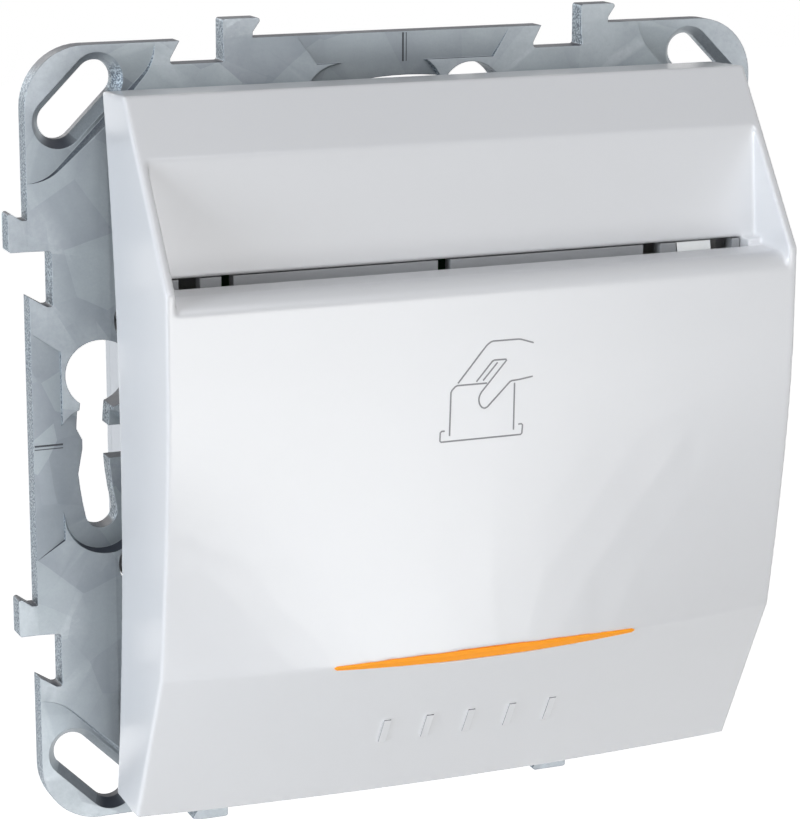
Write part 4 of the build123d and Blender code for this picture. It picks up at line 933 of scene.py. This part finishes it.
# The printed sign: a hand that lowers a card into a tray, as points (X, Z)
signValues = {
    "width": 0.14,
    "proud": 0.012,
    "sunk": 0.06,
    "step": 0.25,
    "fromY": -40.0,
    "corner": 0.12,
    "lines": {
        "backOfHand": ((-3.45, 7.56), (-0.75, 10.72), (-0.3, 11.0), (2.34, 10.98), (3.65, 10.55)),
        "thumb": (
            (-1.73, 7.55), (-0.38, 9.07), (-0.15, 9.32), (1.17, 9.3), (-1.32, 6.5), (-1.5, 6.0),
            (-1.4, 5.5), (-1.1, 5.15), (-0.75, 5.15), (1.52, 7.36), (2.3, 7.4), (3.6, 7.58),
        ),
        "knuckle": ((-1.1, 7.6), (0.25, 9.1)),
        "cardLeft": ((-0.73, 7.35), (-3.62, 7.36), (-4.1, 6.9), (-4.19, 2.97)),
        "cardRight": ((1.88, 7.15), (1.85, 2.97)),
        "tray": ((-4.64, 3.44), (-5.05, 3.44), (-5.09, 2.49), (2.65, 2.48), (2.72, 3.44), (2.3, 3.42)),
    },
}


def makeSign(v):
    lines = [(roundCorners(points, v["corner"]), v["width"]) for points in v["lines"].values()]
    makeLines("printed_sign", coverShell, lines, v, "signGrey")


makeSign(signValues)

# The lever's return spring: a coil
springValues = {
    "seat": (0.0, -7.9, -9.5),
    "length": 5.9,
    "radius": 1.6,
    "wire": 0.18,
    "turns": 5,
    "steps": 40,
    "sides": 12,
    "keep": 0.735,
}


def makeSpring(v):
    seatX, seatY, seatZ = v["seat"]
    reach = v["length"] - 2 * v["wire"]  # between the middles of the two end wires
    count = v["turns"] * v["steps"]
    rise = reach / (2 * math.pi * v["turns"] * v["radius"])
    work = bmesh.new()
    rows = []
    for k in range(count + 1):
        turn = 2 * math.pi * k / v["steps"]
        out = Vector((math.cos(turn), 0.0, math.sin(turn)))
        along = Vector((-math.sin(turn), -rise, math.cos(turn))).normalized()
        side = along.cross(out)
        middle = Vector((seatX, seatY - v["wire"] - reach * k / count, seatZ)) + out * v["radius"]
        row = []
        for step in range(v["sides"]):
            angle = 2 * math.pi * step / v["sides"]
            place = middle + (out * math.cos(angle) + side * math.sin(angle)) * v["wire"]
            row.append(work.verts.new(place * mm))
        rows.append(row)
    addTube(work, rows, smooth=True)
    mesh = meshFrom(work, "return_spring_coil")
    spring = makePiece("return_spring_coil", mesh, "springSteel")
    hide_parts("lever_return_spring")
    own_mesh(spring)


makeSpring(springValues)
print("return spring is wound")

# Scribed centre marks on the frame: a thick line and a thin one on each side, as near-black ribbons that
# paint the grooves' shade
scribeValues = {
    "thick": 0.17,
    "thin": 0.08,
    "proud": 0.008,
    "sunk": 0.05,
    "step": 0.3,
    "fromY": -30.0,
    "edge": 35.3,
    "length": 2.6,
    "gap": 0.32,
}


def makeScribes(v):
    lines = []
    for turn in (1, -1):
        near, far = turn * v["edge"], turn * (v["edge"] - v["length"])
        for side, width in ((1, v["thick"]), (-1, v["thin"])):
            across = side * v["gap"] / 2
            lines.append(([(near, across), (far, across)], width))
            lines.append(([(-across, near), (-across, far)], width))
    makeLines("scribed_marks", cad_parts["support_frame"], lines, v, "scribePaintedShade")


makeScribes(scribeValues)
print("sign and centre marks are laid")

# Floor: it looks white, and still takes the object's shadow; sizes in metres
floorValues = {"level": -0.5, "size": 8.0, "color": (0.93, 0.93, 0.93), "whiteness": 1.0}


def makeFloor(v):
    half, level = v["size"] / 2, v["level"]
    mesh = bpy.data.meshes.new("studio_floor")
    corners = [(-half, -half, level), (half, -half, level), (half, half, level), (-half, half, level)]
    mesh.from_pydata(corners, [], [(0, 1, 2, 3)])
    floor = linkObject("studio_floor", mesh)
    material = bpy.data.materials.new("paleFloor")
    nodes = emptyTree(material)
    matt = nodes.add("ShaderNodeBsdfDiffuse")
    matt.inputs["Color"].default_value = opaque(v["color"])
    glow = nodes.add("ShaderNodeEmission")
    glow.inputs["Strength"].default_value = v["whiteness"]
    both = nodes.add("ShaderNodeAddShader")
    nodes.link(matt.outputs[0], both.inputs[0])
    nodes.link(glow.outputs[0], both.inputs[1])
    out = nodes.add("ShaderNodeOutputMaterial")
    nodes.link(mixShaders(nodes, seesWhite(nodes), matt, both), out.inputs[0])
    mesh.materials.append(material)


makeFloor(floorValues)

print("done")
